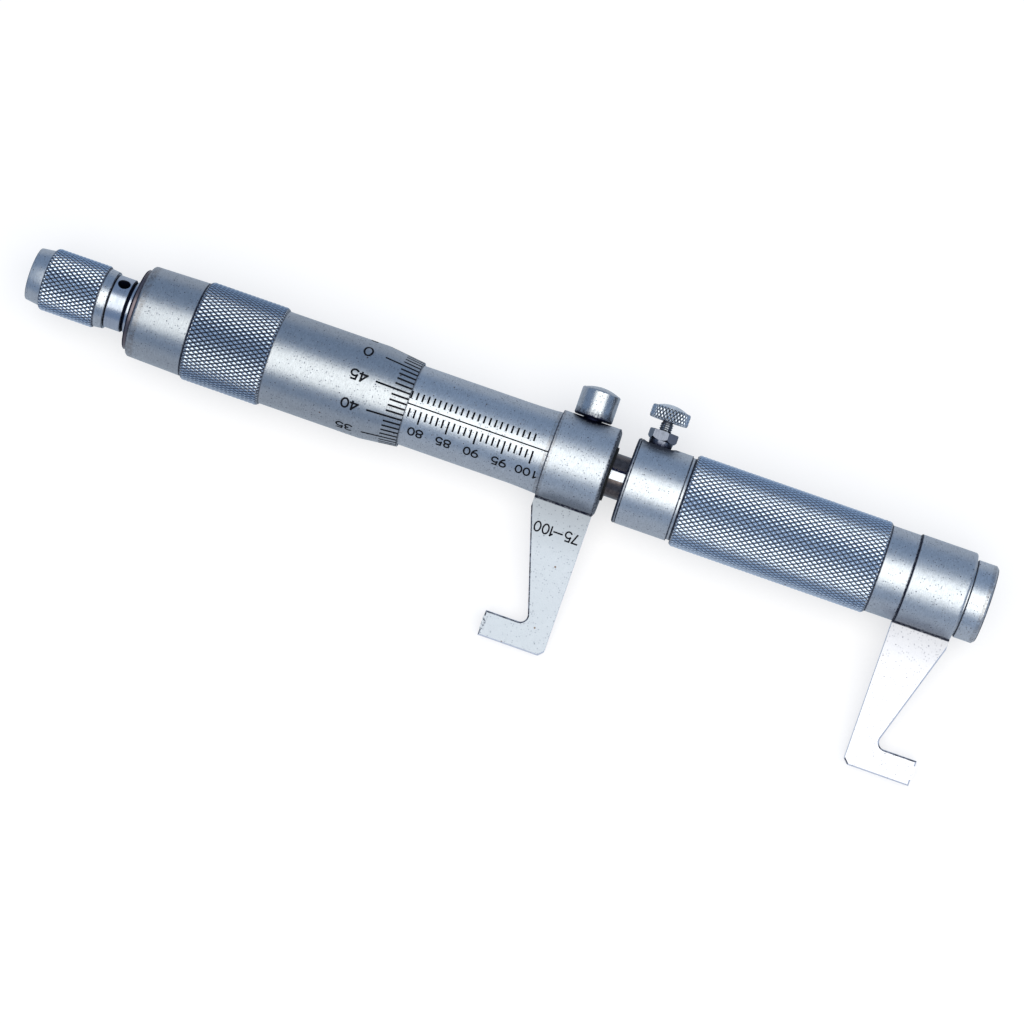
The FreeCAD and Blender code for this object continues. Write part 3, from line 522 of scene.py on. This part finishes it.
def make_materials():
    """Finishes by the record's slot, and by node for the pieces that the photograph shows closely."""
    chrome = colour(0.48, 0.49, 0.52)
    jaw_dirt_and_shade = (jaw_root_line, jaw_edges)
    # Both plates are the same chrome: the fixed one's darker tone is painted shade, the moving one's lighter
    # tone a painted highlight
    fixed_plate_shaded = colour(0.32, 0.335, 0.37)
    moving_plate_lit = colour(0.52, 0.505, 0.54)
    return {
        "satin_chrome": satin_metal("satin_chrome", chrome, 0.36),
        "jaw_steel": satin_metal("jaw_steel", chrome, 0.36, jaw_dirt_and_shade, (), fixed_plate_shaded),
        "carbide": satin_metal("carbide", chrome, 0.42, (jaw_edges,), (), moving_plate_lit),
        "rod_steel": plain_metal("rod_steel", colour(0.20, 0.18, 0.17), 0.28, 0.5),
        "screw_steel": plain_metal("screw_steel", colour(0.50, 0.53, 0.58), 0.27),
        "inner_steel": plain_metal("inner_steel", colour(0.42, 0.43, 0.46), 0.35),
        "spring_steel": plain_metal("spring_steel", colour(0.35, 0.36, 0.40), 0.3),
        "bronze": plain_metal("bronze", colour(0.62, 0.42, 0.20), 0.35),
        "seal_rubber": rubber("seal_rubber"),
        "ink": paint("ink", colour(0.004, 0.004, 0.006)),
        # The thimble's chrome is darker than the rest: a painted shade that dims its highlight
        "thimble": satin_metal("thimble_chrome", scaled(chrome, 0.80), 0.35, (
            ring(thimble_edge, 0.16, 0.9),
            ring(knurl_front, 0.13, 0.7),
            ring(knurl_rear, 0.22, 1.0, 0.2),
            ring(thimble_rear, 0.22, 0.9),
        ), (ring(thimble_rear + 0.8, 0.7, 0.4, 0.9),), None, (knurl_rear, knurl_front)),
        "sleeve": satin_metal("sleeve_chrome", chrome, 0.37, (
            ring(0.0, 0.12),
        ), (ring(-0.4, 0.3, 0.4, 1.0),)),
        "grip_tube": satin_metal("tube_chrome", chrome, 0.37, (
            ring(tube_face + 0.12, 0.3, 1.0, 0.2),
            ring(tube_face + line_from_face + line_width / 2, 0.14),
            ring(grip_start - groove_width, 0.14),
            ring(grip_start - 0.05, 0.2, 1.0, 0.2),
            ring(grip_end, 0.18, 1.0, 0.3),
            ring(moving_collar, 0.22),
            foot(lock_station, spot_height, 0, 4.2, 0.8),
        ), (), None, (grip_start, grip_end)),
        "ratchet_knob": satin_metal("knob_chrome", scaled(chrome, 0.95), 0.31, (
            ring(knob_rear, 0.14, 0.8),
            ring(knob_knurl_rear, 0.14, 0.9),
            ring(knob_knurl_front, 0.14, 0.9),
            ring(knob_front, 0.18),
        ), (), None, (knob_knurl_rear, knob_knurl_front)),
        # The end cap's chrome is lighter than the rest: a painted highlight
        "end_cap": satin_metal("cap_chrome", scaled(chrome, 1.08), 0.36, (
            ring(cap_face, 0.08, 1.0, 0.2),
            ring(cap_end, 0.18, 0.9),
        ), (ring(cap_end - 0.6, 0.5, 0.4, 0.95), cluster(cap_face + 0.8, -6.2, 5.0, 2.6))),
        "fixed_jaw": satin_metal("fixed_jaw_chrome", chrome, 0.42, jaw_dirt_and_shade + (
            on_collar(ring(0.0, 0.16)),
            on_collar(ring(collar_end - 0.15, 0.4, 1.0, 0.7, 0.8)),
            foot(clamp_station, clamp_head_bottom + 0.2, 0, 3.9, 1.0),
        ), (on_collar(ring(0.3, 0.3, 0.4, 0.95)),), fixed_plate_shaded),
        "moving_jaw": satin_metal("moving_jaw_chrome", chrome, 0.42, jaw_dirt_and_shade + (
            on_collar(ring(moving_collar, 0.3, 1.0, 0.1)),
        ), (), moving_plate_lit),
        "fixed_jaw_tip": satin_metal("fixed_tip_carbide", chrome, 0.42, (
            jaw_edges,
            face_marks,
        ), (), fixed_plate_shaded),
        "guide_rod": guide_rod_metal("guide_rod_steel"),
        "ratchet_body": plain_metal("neck_steel", colour(0.40, 0.42, 0.48), 0.27, 0.3, (
            sunk(4.5),
            ring(knob_front, 0.25),
            ring(neck_front, 0.14),
        )),
        "thimble_washer": plain_metal("washer_steel", colour(0.15, 0.12, 0.13), 0.3, 0.4, (
            ring(washer_rear, 0.25, 1.0, 0.1),
            ring(thimble_rear, 0.2, 1.0, 0.2),
        )),
        "rod_clamp_screw": satin_metal("clamp_screw_chrome", scaled(chrome, 0.88), 0.22, (
            below(clamp_head_bottom, 1.4),
            below(clamp_head_bottom + 0.25, 0.3),
        )),
        "lock_screw": plain_metal("lock_screw_steel", colour(0.62, 0.64, 0.68), 0.22, 0.5),
        "lock_bush": plain_metal("bush_steel", colour(0.15, 0.16, 0.20), 0.16, 0.5, (
            below(spot_height, 0.9),
        )),
    }


# Meshes


mark_crease = 30.0
turned_crease = 24.0


def new_object(name, points, faces, material, crease):
    """Mesh object from row-frame points, shaded smooth apart from edges sharper than the crease."""
    mesh = bpy.data.meshes.new(name)
    mesh.from_pydata([tuple(p) for p in points], [], faces)
    if material:
        mesh.materials.append(material)
    mesh.shade_smooth()
    mesh.set_sharp_from_angle(angle=math.radians(crease))
    piece = bpy.data.objects.new(name, mesh)
    bpy.context.scene.collection.objects.link(piece)
    return piece


def softened(corners, radius, steps=3):
    """Outline of (station, radius) corners with every inner corner rounded by a short curve."""
    corners = [np.array(corner, float) for corner in corners]
    made = [tuple(corners[0])]
    for before, corner, after in zip(corners, corners[1:], corners[2:]):
        back, onward = before - corner, after - corner
        room = min(radius, 0.4 * np.linalg.norm(back), 0.4 * np.linalg.norm(onward))
        start = corner + back / np.linalg.norm(back) * room
        end = corner + onward / np.linalg.norm(onward) * room
        for step in range(steps + 1):
            t = step / steps
            made.append(tuple(start * (1 - t) ** 2 + corner * 2 * t * (1 - t) + end * t ** 2))
    return made + [tuple(corners[-1])]


def pawl_place(station, across, along):
    """Place of a piece turned about the pawl's bore in the knob."""
    return world(station, pawl_orbit + across, along)


def lock_place(y, across, along):
    """Place of a piece turned about the lock screw's axis."""
    return world(lock_station + across, y, along)


def cell(corners, heights):
    """A level cell stays whole; another is split along its most level diagonal, the lower of two."""
    a, b, c, d = corners
    if max(heights) - min(heights) < 1e-9:
        return [corners]
    first = (round(abs(heights[0] - heights[2]), 6), heights[0])
    second = (round(abs(heights[1] - heights[3]), 6), heights[1])
    if first < second:
        return [(a, b, c), (a, c, d)]
    return [(a, b, d), (b, c, d)]


def turned_mesh(name, rings, columns, material, place=world):
    """Closed surface through rings of (station, radius, groove darkening), whose last two may vary round the
    ring; the darkening is dirt and painted shade in grooves.
    """
    angles = np.arange(columns) * 2 * math.pi / columns
    sines, cosines = np.sin(angles), np.cos(angles)
    points = []
    heights = []
    groove_dirt_and_shade = []
    for station, radius, *dirt_and_shade in rings:
        radii = np.broadcast_to(radius, columns)
        points += [place(station, a, b) for a, b in zip(radii * sines, radii * cosines)]
        heights.append(radii)
        groove_dirt_and_shade += list(np.broadcast_to(dirt_and_shade[0] if dirt_and_shade else 0.0, columns))
    count = len(rings)
    faces = []
    for i in range(count):
        j = (i + 1) % count
        knurled = len(rings[i]) == 3 and len(rings[j]) == 3
        for k in range(columns):
            m = (k + 1) % columns
            corners = (i * columns + k, j * columns + k, j * columns + m, i * columns + m)
            around = (heights[i][k], heights[j][k], heights[j][m], heights[i][m])
            faces += cell(corners, around) if knurled else [corners]
    piece = new_object(name, points, faces, material, turned_crease)
    attribute = piece.data.attributes.new("groove_dirt_and_shade", "FLOAT", "POINT")
    attribute.data.foreach_set("value", groove_dirt_and_shade)
    return piece


# Mesh cells to half a groove's pitch, the exponent of a pyramid's flank, and how soon the darkening in a
# groove, dirt and painted shade, ends up its flank

knurl_cells = 3
knurl_flank = 1.7
dirt_and_shade_fall = 2.3


def knurl_rings(start, end, peak, depth, around, period, chamfer, dirt_and_shade=1.0):
    """Rings of a crossed knurl: pyramids, a little steeper at the foot, between narrow grooves darkened with
    dirt and painted shade.

    There are so many grooves each way round the piece, and one to each period along it.
    """
    columns = around * 2 * knurl_cells
    rows = round((end - start) / period * 2 * knurl_cells)
    turns = np.arange(columns) / (2 * knurl_cells)
    rings = []
    for row in range(rows + 1):
        x = start + (end - start) * row / rows
        along = row / (2 * knurl_cells)
        one = 1 - np.abs(2 * ((turns + along) % 1.0) - 1)
        two = 1 - np.abs(2 * ((turns - along) % 1.0) - 1)
        inside = np.minimum(one, two)
        radius = peak - depth * (1 - inside) ** knurl_flank
        limit = peak - max(0.0, chamfer - min(x - start, end - x))
        groove_dirt_and_shade = dirt_and_shade * (1.0 - np.minimum(inside * dirt_and_shade_fall, 1.0))
        rings.append((x, np.minimum(radius, limit), groove_dirt_and_shade))
    return rings, columns


def plug(profile, place, columns=32):
    """Closed turned piece, flat at both ends, through (station, radius) rings."""
    angles = np.arange(columns) * 2 * math.pi / columns
    points = [place(x, radius * math.sin(a), radius * math.cos(a)) for x, radius in profile for a in angles]
    count = len(points)
    faces = [tuple(range(columns)), tuple(range(count - columns, count))[::-1]]
    for first in range(0, count - columns, columns):
        for k in range(columns):
            m = (k + 1) % columns
            faces.append((first + m, first + k, first + columns + k, first + columns + m))
    return new_object("plug", points, faces, None, turned_crease)


def block(x_range, y_range, z_range):
    """Rectangular block between two places along each of the instrument's axes."""
    points = [world(x, y, z) for x in x_range for y in y_range for z in z_range]
    faces = [(0, 1, 3, 2), (4, 6, 7, 5), (0, 4, 5, 1), (2, 3, 7, 6), (0, 2, 6, 4), (1, 5, 7, 3)]
    return new_object("block", points, faces, None, turned_crease)


def outward(piece):
    """Turns the faces of a closed piece to the outside."""
    shape = bmesh.new()
    shape.from_mesh(piece.data)
    bmesh.ops.recalc_face_normals(shape, faces=shape.faces)
    shape.to_mesh(piece.data)
    shape.free()


def cut_out(piece, cutters):
    """Takes closed cutters out of a piece and keeps its one material."""
    material = piece.data.materials[0]
    outward(piece)
    for cutter in cutters:
        outward(cutter)
        cut = piece.modifiers.new("cut", "BOOLEAN")
        cut.operation = "DIFFERENCE"
        cut.solver = "MANIFOLD"
        cut.object = cutter
    mesh = bpy.data.meshes.new_from_object(piece.evaluated_get(bpy.context.evaluated_depsgraph_get()))
    piece.modifiers.clear()
    piece.data = mesh
    mesh.materials.clear()
    mesh.materials.append(material)
    mesh.set_sharp_from_angle(angle=math.radians(turned_crease))
    for cutter in cutters:
        bpy.data.objects.remove(cutter)


def stands_for(piece, node, body):
    """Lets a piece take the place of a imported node."""
    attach(piece, body)
    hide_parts(node)


# Lines and numbers: how far they stand off the metal, the longest straight piece of a line, and the
# cosine of the sharpest bend that isn't cut into two strips

mark_lift = 0.012
mark_step = 0.25
sharpest_bend = 0.7


def round_surface(radius_at):
    """Surface of a turned piece: side is the way round it from a turn angle, both in the picture's sense."""
    def place(x, side, turn):
        radius = radius_at(x)
        angle = turn + side / radius
        return world(x, (radius + mark_lift) * math.sin(angle), (radius + mark_lift) * math.cos(angle))
    return place


def flat_surface(height):
    """The same for a plane at a height above the axis."""
    return lambda x, side, turn: world(x, side, height + mark_lift)


def split_at_corners(path, overlap):
    """Smooth runs of a path, each drawn out a little past the sharp corners where it was cut."""
    runs = [[path[0]]]
    for before, corner, after in zip(path, path[1:], path[2:]):
        runs[-1].append(corner)
        into, out = corner - before, after - corner
        into, out = into / np.linalg.norm(into), out / np.linalg.norm(out)
        if into @ out < sharpest_bend:
            runs[-1][-1] = corner + into * overlap
            runs.append([corner - out * overlap])
    runs[-1].append(path[-1])
    return runs


def close_spaced(run):
    """The same run with points at most a mark step apart, so that it follows a round surface."""
    made = [run[0]]
    for before, after in zip(run, run[1:]):
        steps = max(1, math.ceil(np.linalg.norm(after - before) / mark_step))
        made += [before + (after - before) * step / steps for step in range(1, steps + 1)]
    return made


class Marks:
    """Collects the filled strips of a scale into one mesh."""

    def __init__(self, surface):
        self.surface = surface
        self.points = []
        self.faces = []

    def strip(self, run, width, turn):
        """Adds a flat strip of one width along a run."""
        first = len(self.points)
        for i, p in enumerate(run):
            forward = run[min(i + 1, len(run) - 1)] - run[max(i - 1, 0)]
            normal = np.array((-forward[1], forward[0])) / np.linalg.norm(forward) * width / 2
            self.points += [self.surface(*(p + normal), turn), self.surface(*(p - normal), turn)]
        for i in range(len(run) - 1):
            a = first + 2 * i
            self.faces.append((a, a + 1, a + 3, a + 2))

    def draw(self, path, width, turn=0.0):
        """Line of one width along a path of (x, side) points."""
        path = [np.array(p, float) for p in path]
        for run in split_at_corners(path, width / 2):
            self.strip(close_spaced(run), width, turn)

    def figure(self, figure, x, side, height, width, stroke, turn=0.0):
        """One figure centred on (x, side), upright when the instrument is turned half round."""
        for path in figure_strokes(figure):
            placed = [(x + (figure_width / 2 - u) * width, side + (0.5 - v) * height) for u, v in path]
            self.draw(placed, stroke, turn)

    def write(self, text, x, side, height, width, stroke, pitch, turn=0.0):
        """Figures side by side, centred on (x, side)."""
        for i, figure in enumerate(text):
            offset = (i - (len(text) - 1) / 2) * pitch
            self.figure(figure, x - offset, side, height, width, stroke, turn)

    def make(self, name, body):
        piece = new_object(name, self.points, self.faces, materials["ink"], mark_crease)
        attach(piece, body)


def arc(cx, cy, rx, ry, start, end, steps=14):
    """Points of an elliptic arc between two angles in degrees."""
    angles = [math.radians(start + (end - start) * i / steps) for i in range(steps + 1)]
    return [(cx + rx * math.cos(a), cy + ry * math.sin(a)) for a in angles]


figure_width = 0.64


def figure_strokes(figure):
    """Single-line figures, figure_width wide and 1 tall, as strokes from the lower left corner."""
    figures = {
        "0": [arc(0.32, 0.5, 0.3, 0.5, 0, 360, 28)],
        "1": [[(0.12, 0.76), (0.36, 1.0), (0.36, 0.0)]],
        "2": [arc(0.32, 0.7, 0.3, 0.3, 165, -35) + [(0.02, 0.0), (0.64, 0.0)]],
        "3": [arc(0.3, 0.74, 0.27, 0.26, 160, -75) + arc(0.3, 0.27, 0.31, 0.27, 75, -160)],
        "4": [[(0.46, 0.0), (0.46, 1.0), (-0.02, 0.27), (0.70, 0.27)]],
        "5": [[(0.56, 1.0), (0.12, 1.0), (0.07, 0.55)] + arc(0.31, 0.33, 0.31, 0.33, 130, -155, 20)],
        "7": [[(0.02, 1.0), (0.62, 1.0), (0.24, 0.0)]],
        "8": [arc(0.32, 0.75, 0.25, 0.25, -90, 270, 22), arc(0.32, 0.26, 0.31, 0.26, 90, 450, 24)],
        "9": [arc(0.32, 0.7, 0.3, 0.3, 0, 360, 24), arc(0.02, 0.7, 0.6, 0.75, 0, -78)],
    }
    return figures[figure]


def make_thimble():
    knurl, columns = knurl_rings(
        knurl_rear, knurl_front, thimble_peak, depth=0.21, around=70, period=1.5, chamfer=0.42
    )
    outline = softened([
        (knurl_front, front_radius),
        (bevel_start, front_radius),
        (thimble_edge, edge_radius),
        (thimble_edge, thimble_bore),
        (thimble_rear + wall_length, thimble_bore),
        (thimble_rear + wall_length, taper_seat),
        (thimble_rear, taper_seat),
        (thimble_rear, rear_radius - rear_round),
    ], 0.06)
    rear = arc(thimble_rear + rear_round, rear_radius - rear_round, rear_round, rear_round, 170, 90, 8)
    rings = knurl + outline + rear + [(knurl_rear, shoulder_radius)]
    piece = turned_mesh("thimble_body", rings, columns, looks["thimble"])
    stands_for(piece, "thimble", "spindle_unit")


# Thimble scale

thimble_divisions = 50
division_at_datum = 43.4
thimble_stroke = 0.34
mark_from_edge = 0.05
fifth_mark_length = 6.25
short_mark_length = 3.1
number_from_edge = 9.3
number_size = (1.65, 2.0)
zero_size = (2.1, 2.4)
number_pitch = 1.56


def make_thimble_scale():
    slope = (front_radius - edge_radius) / bevel_length
    marks = Marks(round_surface(lambda x: min(front_radius, edge_radius + (thimble_edge - x) * slope)))
    for division in range(thimble_divisions):
        turn = math.radians((division - division_at_datum) * 360 / thimble_divisions)
        length = fifth_mark_length if division % 5 == 0 else short_mark_length
        marks.draw([(thimble_edge - mark_from_edge, 0), (thimble_edge - length, 0)], thimble_stroke, turn)
        if division % 5 == 0:
            size = number_size if division else zero_size
            x = thimble_edge - number_from_edge
            marks.write(str(division), x, 0, *size, thimble_stroke, number_pitch, turn)
    marks.make("thimble_scale", "spindle_unit")


# Sleeve scale: whole millimetres on the jaws' side of the datum line, halves on the other

sleeve_radius = 7.1
sleeve_end_radius = 7.335
flare_length = 6.1
first_value = 75
last_value = 100
mark_of_last = -2.46
datum_stroke = 0.24
sleeve_stroke = 0.32
whole_start = -0.68
whole_end = -2.2
fifth_end = -3.02
half_start = 0.93
half_end = 2.29
value_side = -4.7
value_size = (1.5, 1.75)
value_stroke = 0.30
value_pitch = 1.42


def sleeve_radius_at(x):
    """The flare is a curve that leaves the sleeve smoothly and reaches its full radius at the collar."""
    t = max(0.0, (x + flare_length) / flare_length)
    return sleeve_radius + (sleeve_end_radius - sleeve_radius) * t * t


def make_sleeve_scale():
    marks = Marks(round_surface(sleeve_radius_at))
    marks.draw([(mark_of_last - (last_value - first_value), 0), (-mark_from_edge, 0)], datum_stroke)
    for value in range(first_value, last_value + 1):
        x = mark_of_last - (last_value - value)
        marks.draw([(x, whole_start), (x, fifth_end if value % 5 == 0 else whole_end)], sleeve_stroke)
        if value < last_value:
            marks.draw([(x + 0.5, half_start), (x + 0.5, half_end)], sleeve_stroke)
        if value % 5 == 0 and value > first_value:
            marks.write(str(value), x, value_side, *value_size, value_stroke, value_pitch)
    marks.make("sleeve_scale", "sleeve_frame")


def make_range_mark():
    """Plain range numbers on the fixed jaw's plate, with a long dash between them."""
    marks = Marks(flat_surface(jaw_half_thickness))
    x, side = 5.85, -12.4
    height, width, stroke = 1.65, 1.75, 0.28
    dash_half = 0.85
    for figure, offset in (("7", 3.22), ("5", 1.84), ("1", -1.15), ("0", -2.2), ("0", -3.67)):
        marks.figure(figure, x + offset, side, height, width, stroke)
    marks.draw([(x + dash_half, side), (x - dash_half, side)], stroke)
    marks.make("range_mark", "sleeve_frame")


# Bores in the knob and the grip tube for the pieces that work inside them

pawl_orbit = 3.55
pawl_bore_radius = 0.75
pawl_bore_length = 6.7
chamber_radius = 4.5
chamber_length = 3.66
pad_radius = 1.18
stub_radius = 1.72
stub_length = 2.2
key_slot_length = 5.77
key_slot_half = 0.74
key_slot_top = 5.175
cutter_overrun = 0.5
spot_face_depth = 1.5


def make_knob():
    knurl, columns = knurl_rings(
        knob_knurl_rear, knob_knurl_front, knob_peak, depth=0.22, around=45, period=1.36, chamfer=0.3
    )
    outline = softened([
        (knob_knurl_front, ring_rear_radius),
        (knob_front, ring_front_radius),
        (knob_front, stem_bore),
        (knob_rear + recess_depth, stem_bore),
        (knob_rear + recess_depth, recess_radius),
        (knob_rear, recess_radius),
        (knob_rear, nose_end_radius),
        (knob_knurl_rear, nose_radius),
    ], 0.15)
    piece = turned_mesh("ratchet_knob_body", knurl + outline, columns, looks["ratchet_knob"])
    cut_out(piece, [plug([
        (knob_front - pawl_bore_length, pawl_bore_radius),
        (knob_front + cutter_overrun, pawl_bore_radius),
    ], pawl_place)])
    stands_for(piece, "ratchet_knob", "ratchet")


def make_grip_tube():
    knurl, columns = knurl_rings(
        grip_start, grip_end, grip_peak, depth=0.21, around=60, period=1.35, chamfer=0.4, dirt_and_shade=0.85
    )
    line = tube_face + line_from_face
    rear = softened([
        (grip_end, tube_rear_radius),
        (moving_collar, tube_rear_radius),
        (moving_collar, spigot_radius),
        (tube_end, spigot_radius),
        (tube_end, chamber_radius),
        (moving_collar - chamber_length, chamber_radius),
        (moving_collar - chamber_length, tube_bore),
        (tube_face, tube_bore),
        (tube_face, tube_radius - tube_bevel),
        (tube_face + tube_bevel, tube_radius),
        (line, tube_radius),
    ], 0.05)
    turned_line = [(line, tube_radius - line_depth), (line + line_width, tube_radius - line_depth)]
    seat_start = line + line_width
    seat_end = grip_start - groove_width
    seat = [(station, tube_radius) for station in np.linspace(seat_start, seat_end, seat_rings)]
    groove = [(seat_end, groove_radius), (grip_start, groove_radius)]
    rings = knurl + rear + turned_line + seat + groove
    piece = turned_mesh("grip_tube_body", rings, columns, looks["grip_tube"])
    lock_bore = plug([
        (0, pad_radius),
        (spot_height - stub_length, pad_radius),
        (spot_height - stub_length, stub_radius),
        (spot_height, stub_radius),
        (spot_height, spot_radius),
        (spot_height + spot_face_depth, spot_radius),
    ], lock_place)
    key_slot = block(
        (tube_face - cutter_overrun, tube_face + key_slot_length),
        (-key_slot_half, key_slot_half),
        (0, key_slot_top),
    )
    cut_out(piece, [lock_bore, key_slot])
    stands_for(piece, "grip_tube", "slider")


# Lock screw

lock_head_radius = 3.43
lock_head_height = 2.2
lock_head_crown = 0.7
lock_dome_radius = 2.8
lock_thread_radius = 1.15
lock_pitch = 0.4
lock_thread_depth = 0.2
lock_relief = 0.3
lock_relief_depth = 0.26
thread_rings = 8
# Darkening in the thread's grooves: dirt and painted shade
thread_dirt_and_shade = 0.8
axis_point = 0.01


def along_lock(node):
    """Lowest and highest place of a node along the lock screw's own axis, in millimetres."""
    places = [(vertex.co - origin).dot(axis_y) / MM for vertex in frame["nodes"][node].data.vertices]
    return min(places), max(places)


def lock_dome(shoulder):
    """Low spherical dome inside the head's flat shoulder."""
    sphere = (lock_dome_radius ** 2 + lock_head_crown ** 2) / (2 * lock_head_crown)
    full = math.asin(lock_dome_radius / sphere)
    steps = 8
    angles = [full * (1 - step / steps) for step in range(steps)]
    return [(shoulder + lock_head_crown - sphere * (1 - math.cos(a)), sphere * math.sin(a)) for a in angles]


def lock_thread(start, end, columns):
    """Rings of a screw thread that ends in a relief groove under the head."""
    turns = np.arange(columns) / columns
    rings = []
    steps = round((end - start) / lock_pitch * thread_rings)
    for step in range(steps + 1):
        y = start + (end - start) * step / steps
        wave = np.abs(2 * ((y / lock_pitch + turns) % 1.0) - 1)
        threaded = y < end - lock_relief
        depth = lock_thread_depth if threaded else lock_relief_depth
        sunken = wave if threaded else np.ones(columns)
        rings.append((y, lock_thread_radius - depth * sunken, thread_dirt_and_shade * sunken))
    return rings


def make_lock_screw():
    start, top = along_lock("lock_screw")
    shoulder = top - lock_head_crown
    head_bottom = shoulder - lock_head_height
    knurl, columns = knurl_rings(
        head_bottom, shoulder, lock_head_radius, depth=0.25, around=32, period=1.1, chamfer=0.2
    )
    ends = [(top, axis_point), (start, axis_point)]
    rings = knurl + lock_dome(shoulder) + ends + lock_thread(start, head_bottom, columns)
    piece = turned_mesh("lock_screw_body", rings, columns, looks["lock_screw"], lock_place)
    stands_for(piece, "lock_screw", "lock")


# Floor and light

floor_width = 3.2


def make_floor():
    """Pale floor that shows white to the camera and in the metal, and still takes the shadow."""
    mesh = bpy.data.meshes.new("floor")
    half = floor_width / 2
    corners = [(-half, -half, 0), (half, -half, 0), (half, half, 0), (-half, half, 0)]
    mesh.from_pydata(corners, [], [(0, 1, 2, 3)])
    floor = bpy.data.objects.new("floor", mesh)
    bpy.context.scene.collection.objects.link(floor)
    nodes = Nodes("floor")
    path = nodes.add("LightPath")
    seen = path.outputs["Is Camera Ray"]
    mirrored = nodes.math("MAXIMUM", path.outputs["Is Glossy Ray"], path.outputs["Is Transmission Ray"])
    nodes.link(colour(0.37, 0.345, 0.34), "Base Color")
    nodes.link(0.95, "Roughness")
    nodes.link(0.0, "Specular IOR Level")
    nodes.link(nodes.mix(seen, colour(0.22, 0.30, 0.39), colour(0.63, 0.63, 0.63)), "Emission Color")
    nodes.link(nodes.math("MAXIMUM", seen, mirrored), "Emission Strength")
    mesh.materials.append(nodes.material)


def area_light(name, at, target, size, power, tint):
    """Rectangular lamp turned to a target, its width along the instrument."""
    data = bpy.data.lights.new(name, "AREA")
    data.shape = "RECTANGLE"
    data.size, data.size_y = size
    data.energy = power
    data.color = tint
    light = bpy.data.objects.new(name, data)
    bpy.context.scene.collection.objects.link(light)
    towards = (target - at).normalized()
    up = axis_x.cross(towards).normalized()
    side = towards.cross(up).normalized()
    matrix = Matrix((side, up, -towards)).transposed().to_4x4()
    matrix.translation = at
    light.matrix_world = matrix


def make_light():
    """Wide soft light behind the camera and a blue-grey room round it."""
    at, target = world(110, -40, 760), world(20, -8, 0)
    area_light("softbox", at, target, size=(1.06, 0.9), power=7.5, tint=(1.0, 0.99, 0.87))
    studio = bpy.data.worlds.new("studio")
    studio.use_nodes = True
    background = studio.node_tree.nodes["Background"]
    background.inputs["Color"].default_value = colour(0.31, 0.44, 0.64)
    background.inputs["Strength"].default_value = 1.0
    bpy.context.scene.world = studio


materials = make_materials()
looks = {}
for entry in frame["record"]["subparts"]:
    name = entry["node"]
    looks[name] = materials.get(name, materials[entry["material_slot"]])
    node = frame["nodes"][name]
    node.data.materials.clear()
    node.data.materials.append(looks[name])

bpy.context.scene.view_settings.view_transform = "Standard"
make_camera()
make_floor()
make_light()
make_thimble()
make_thimble_scale()
make_sleeve_scale()
make_range_mark()
make_knob()
make_grip_tube()
make_lock_screw()
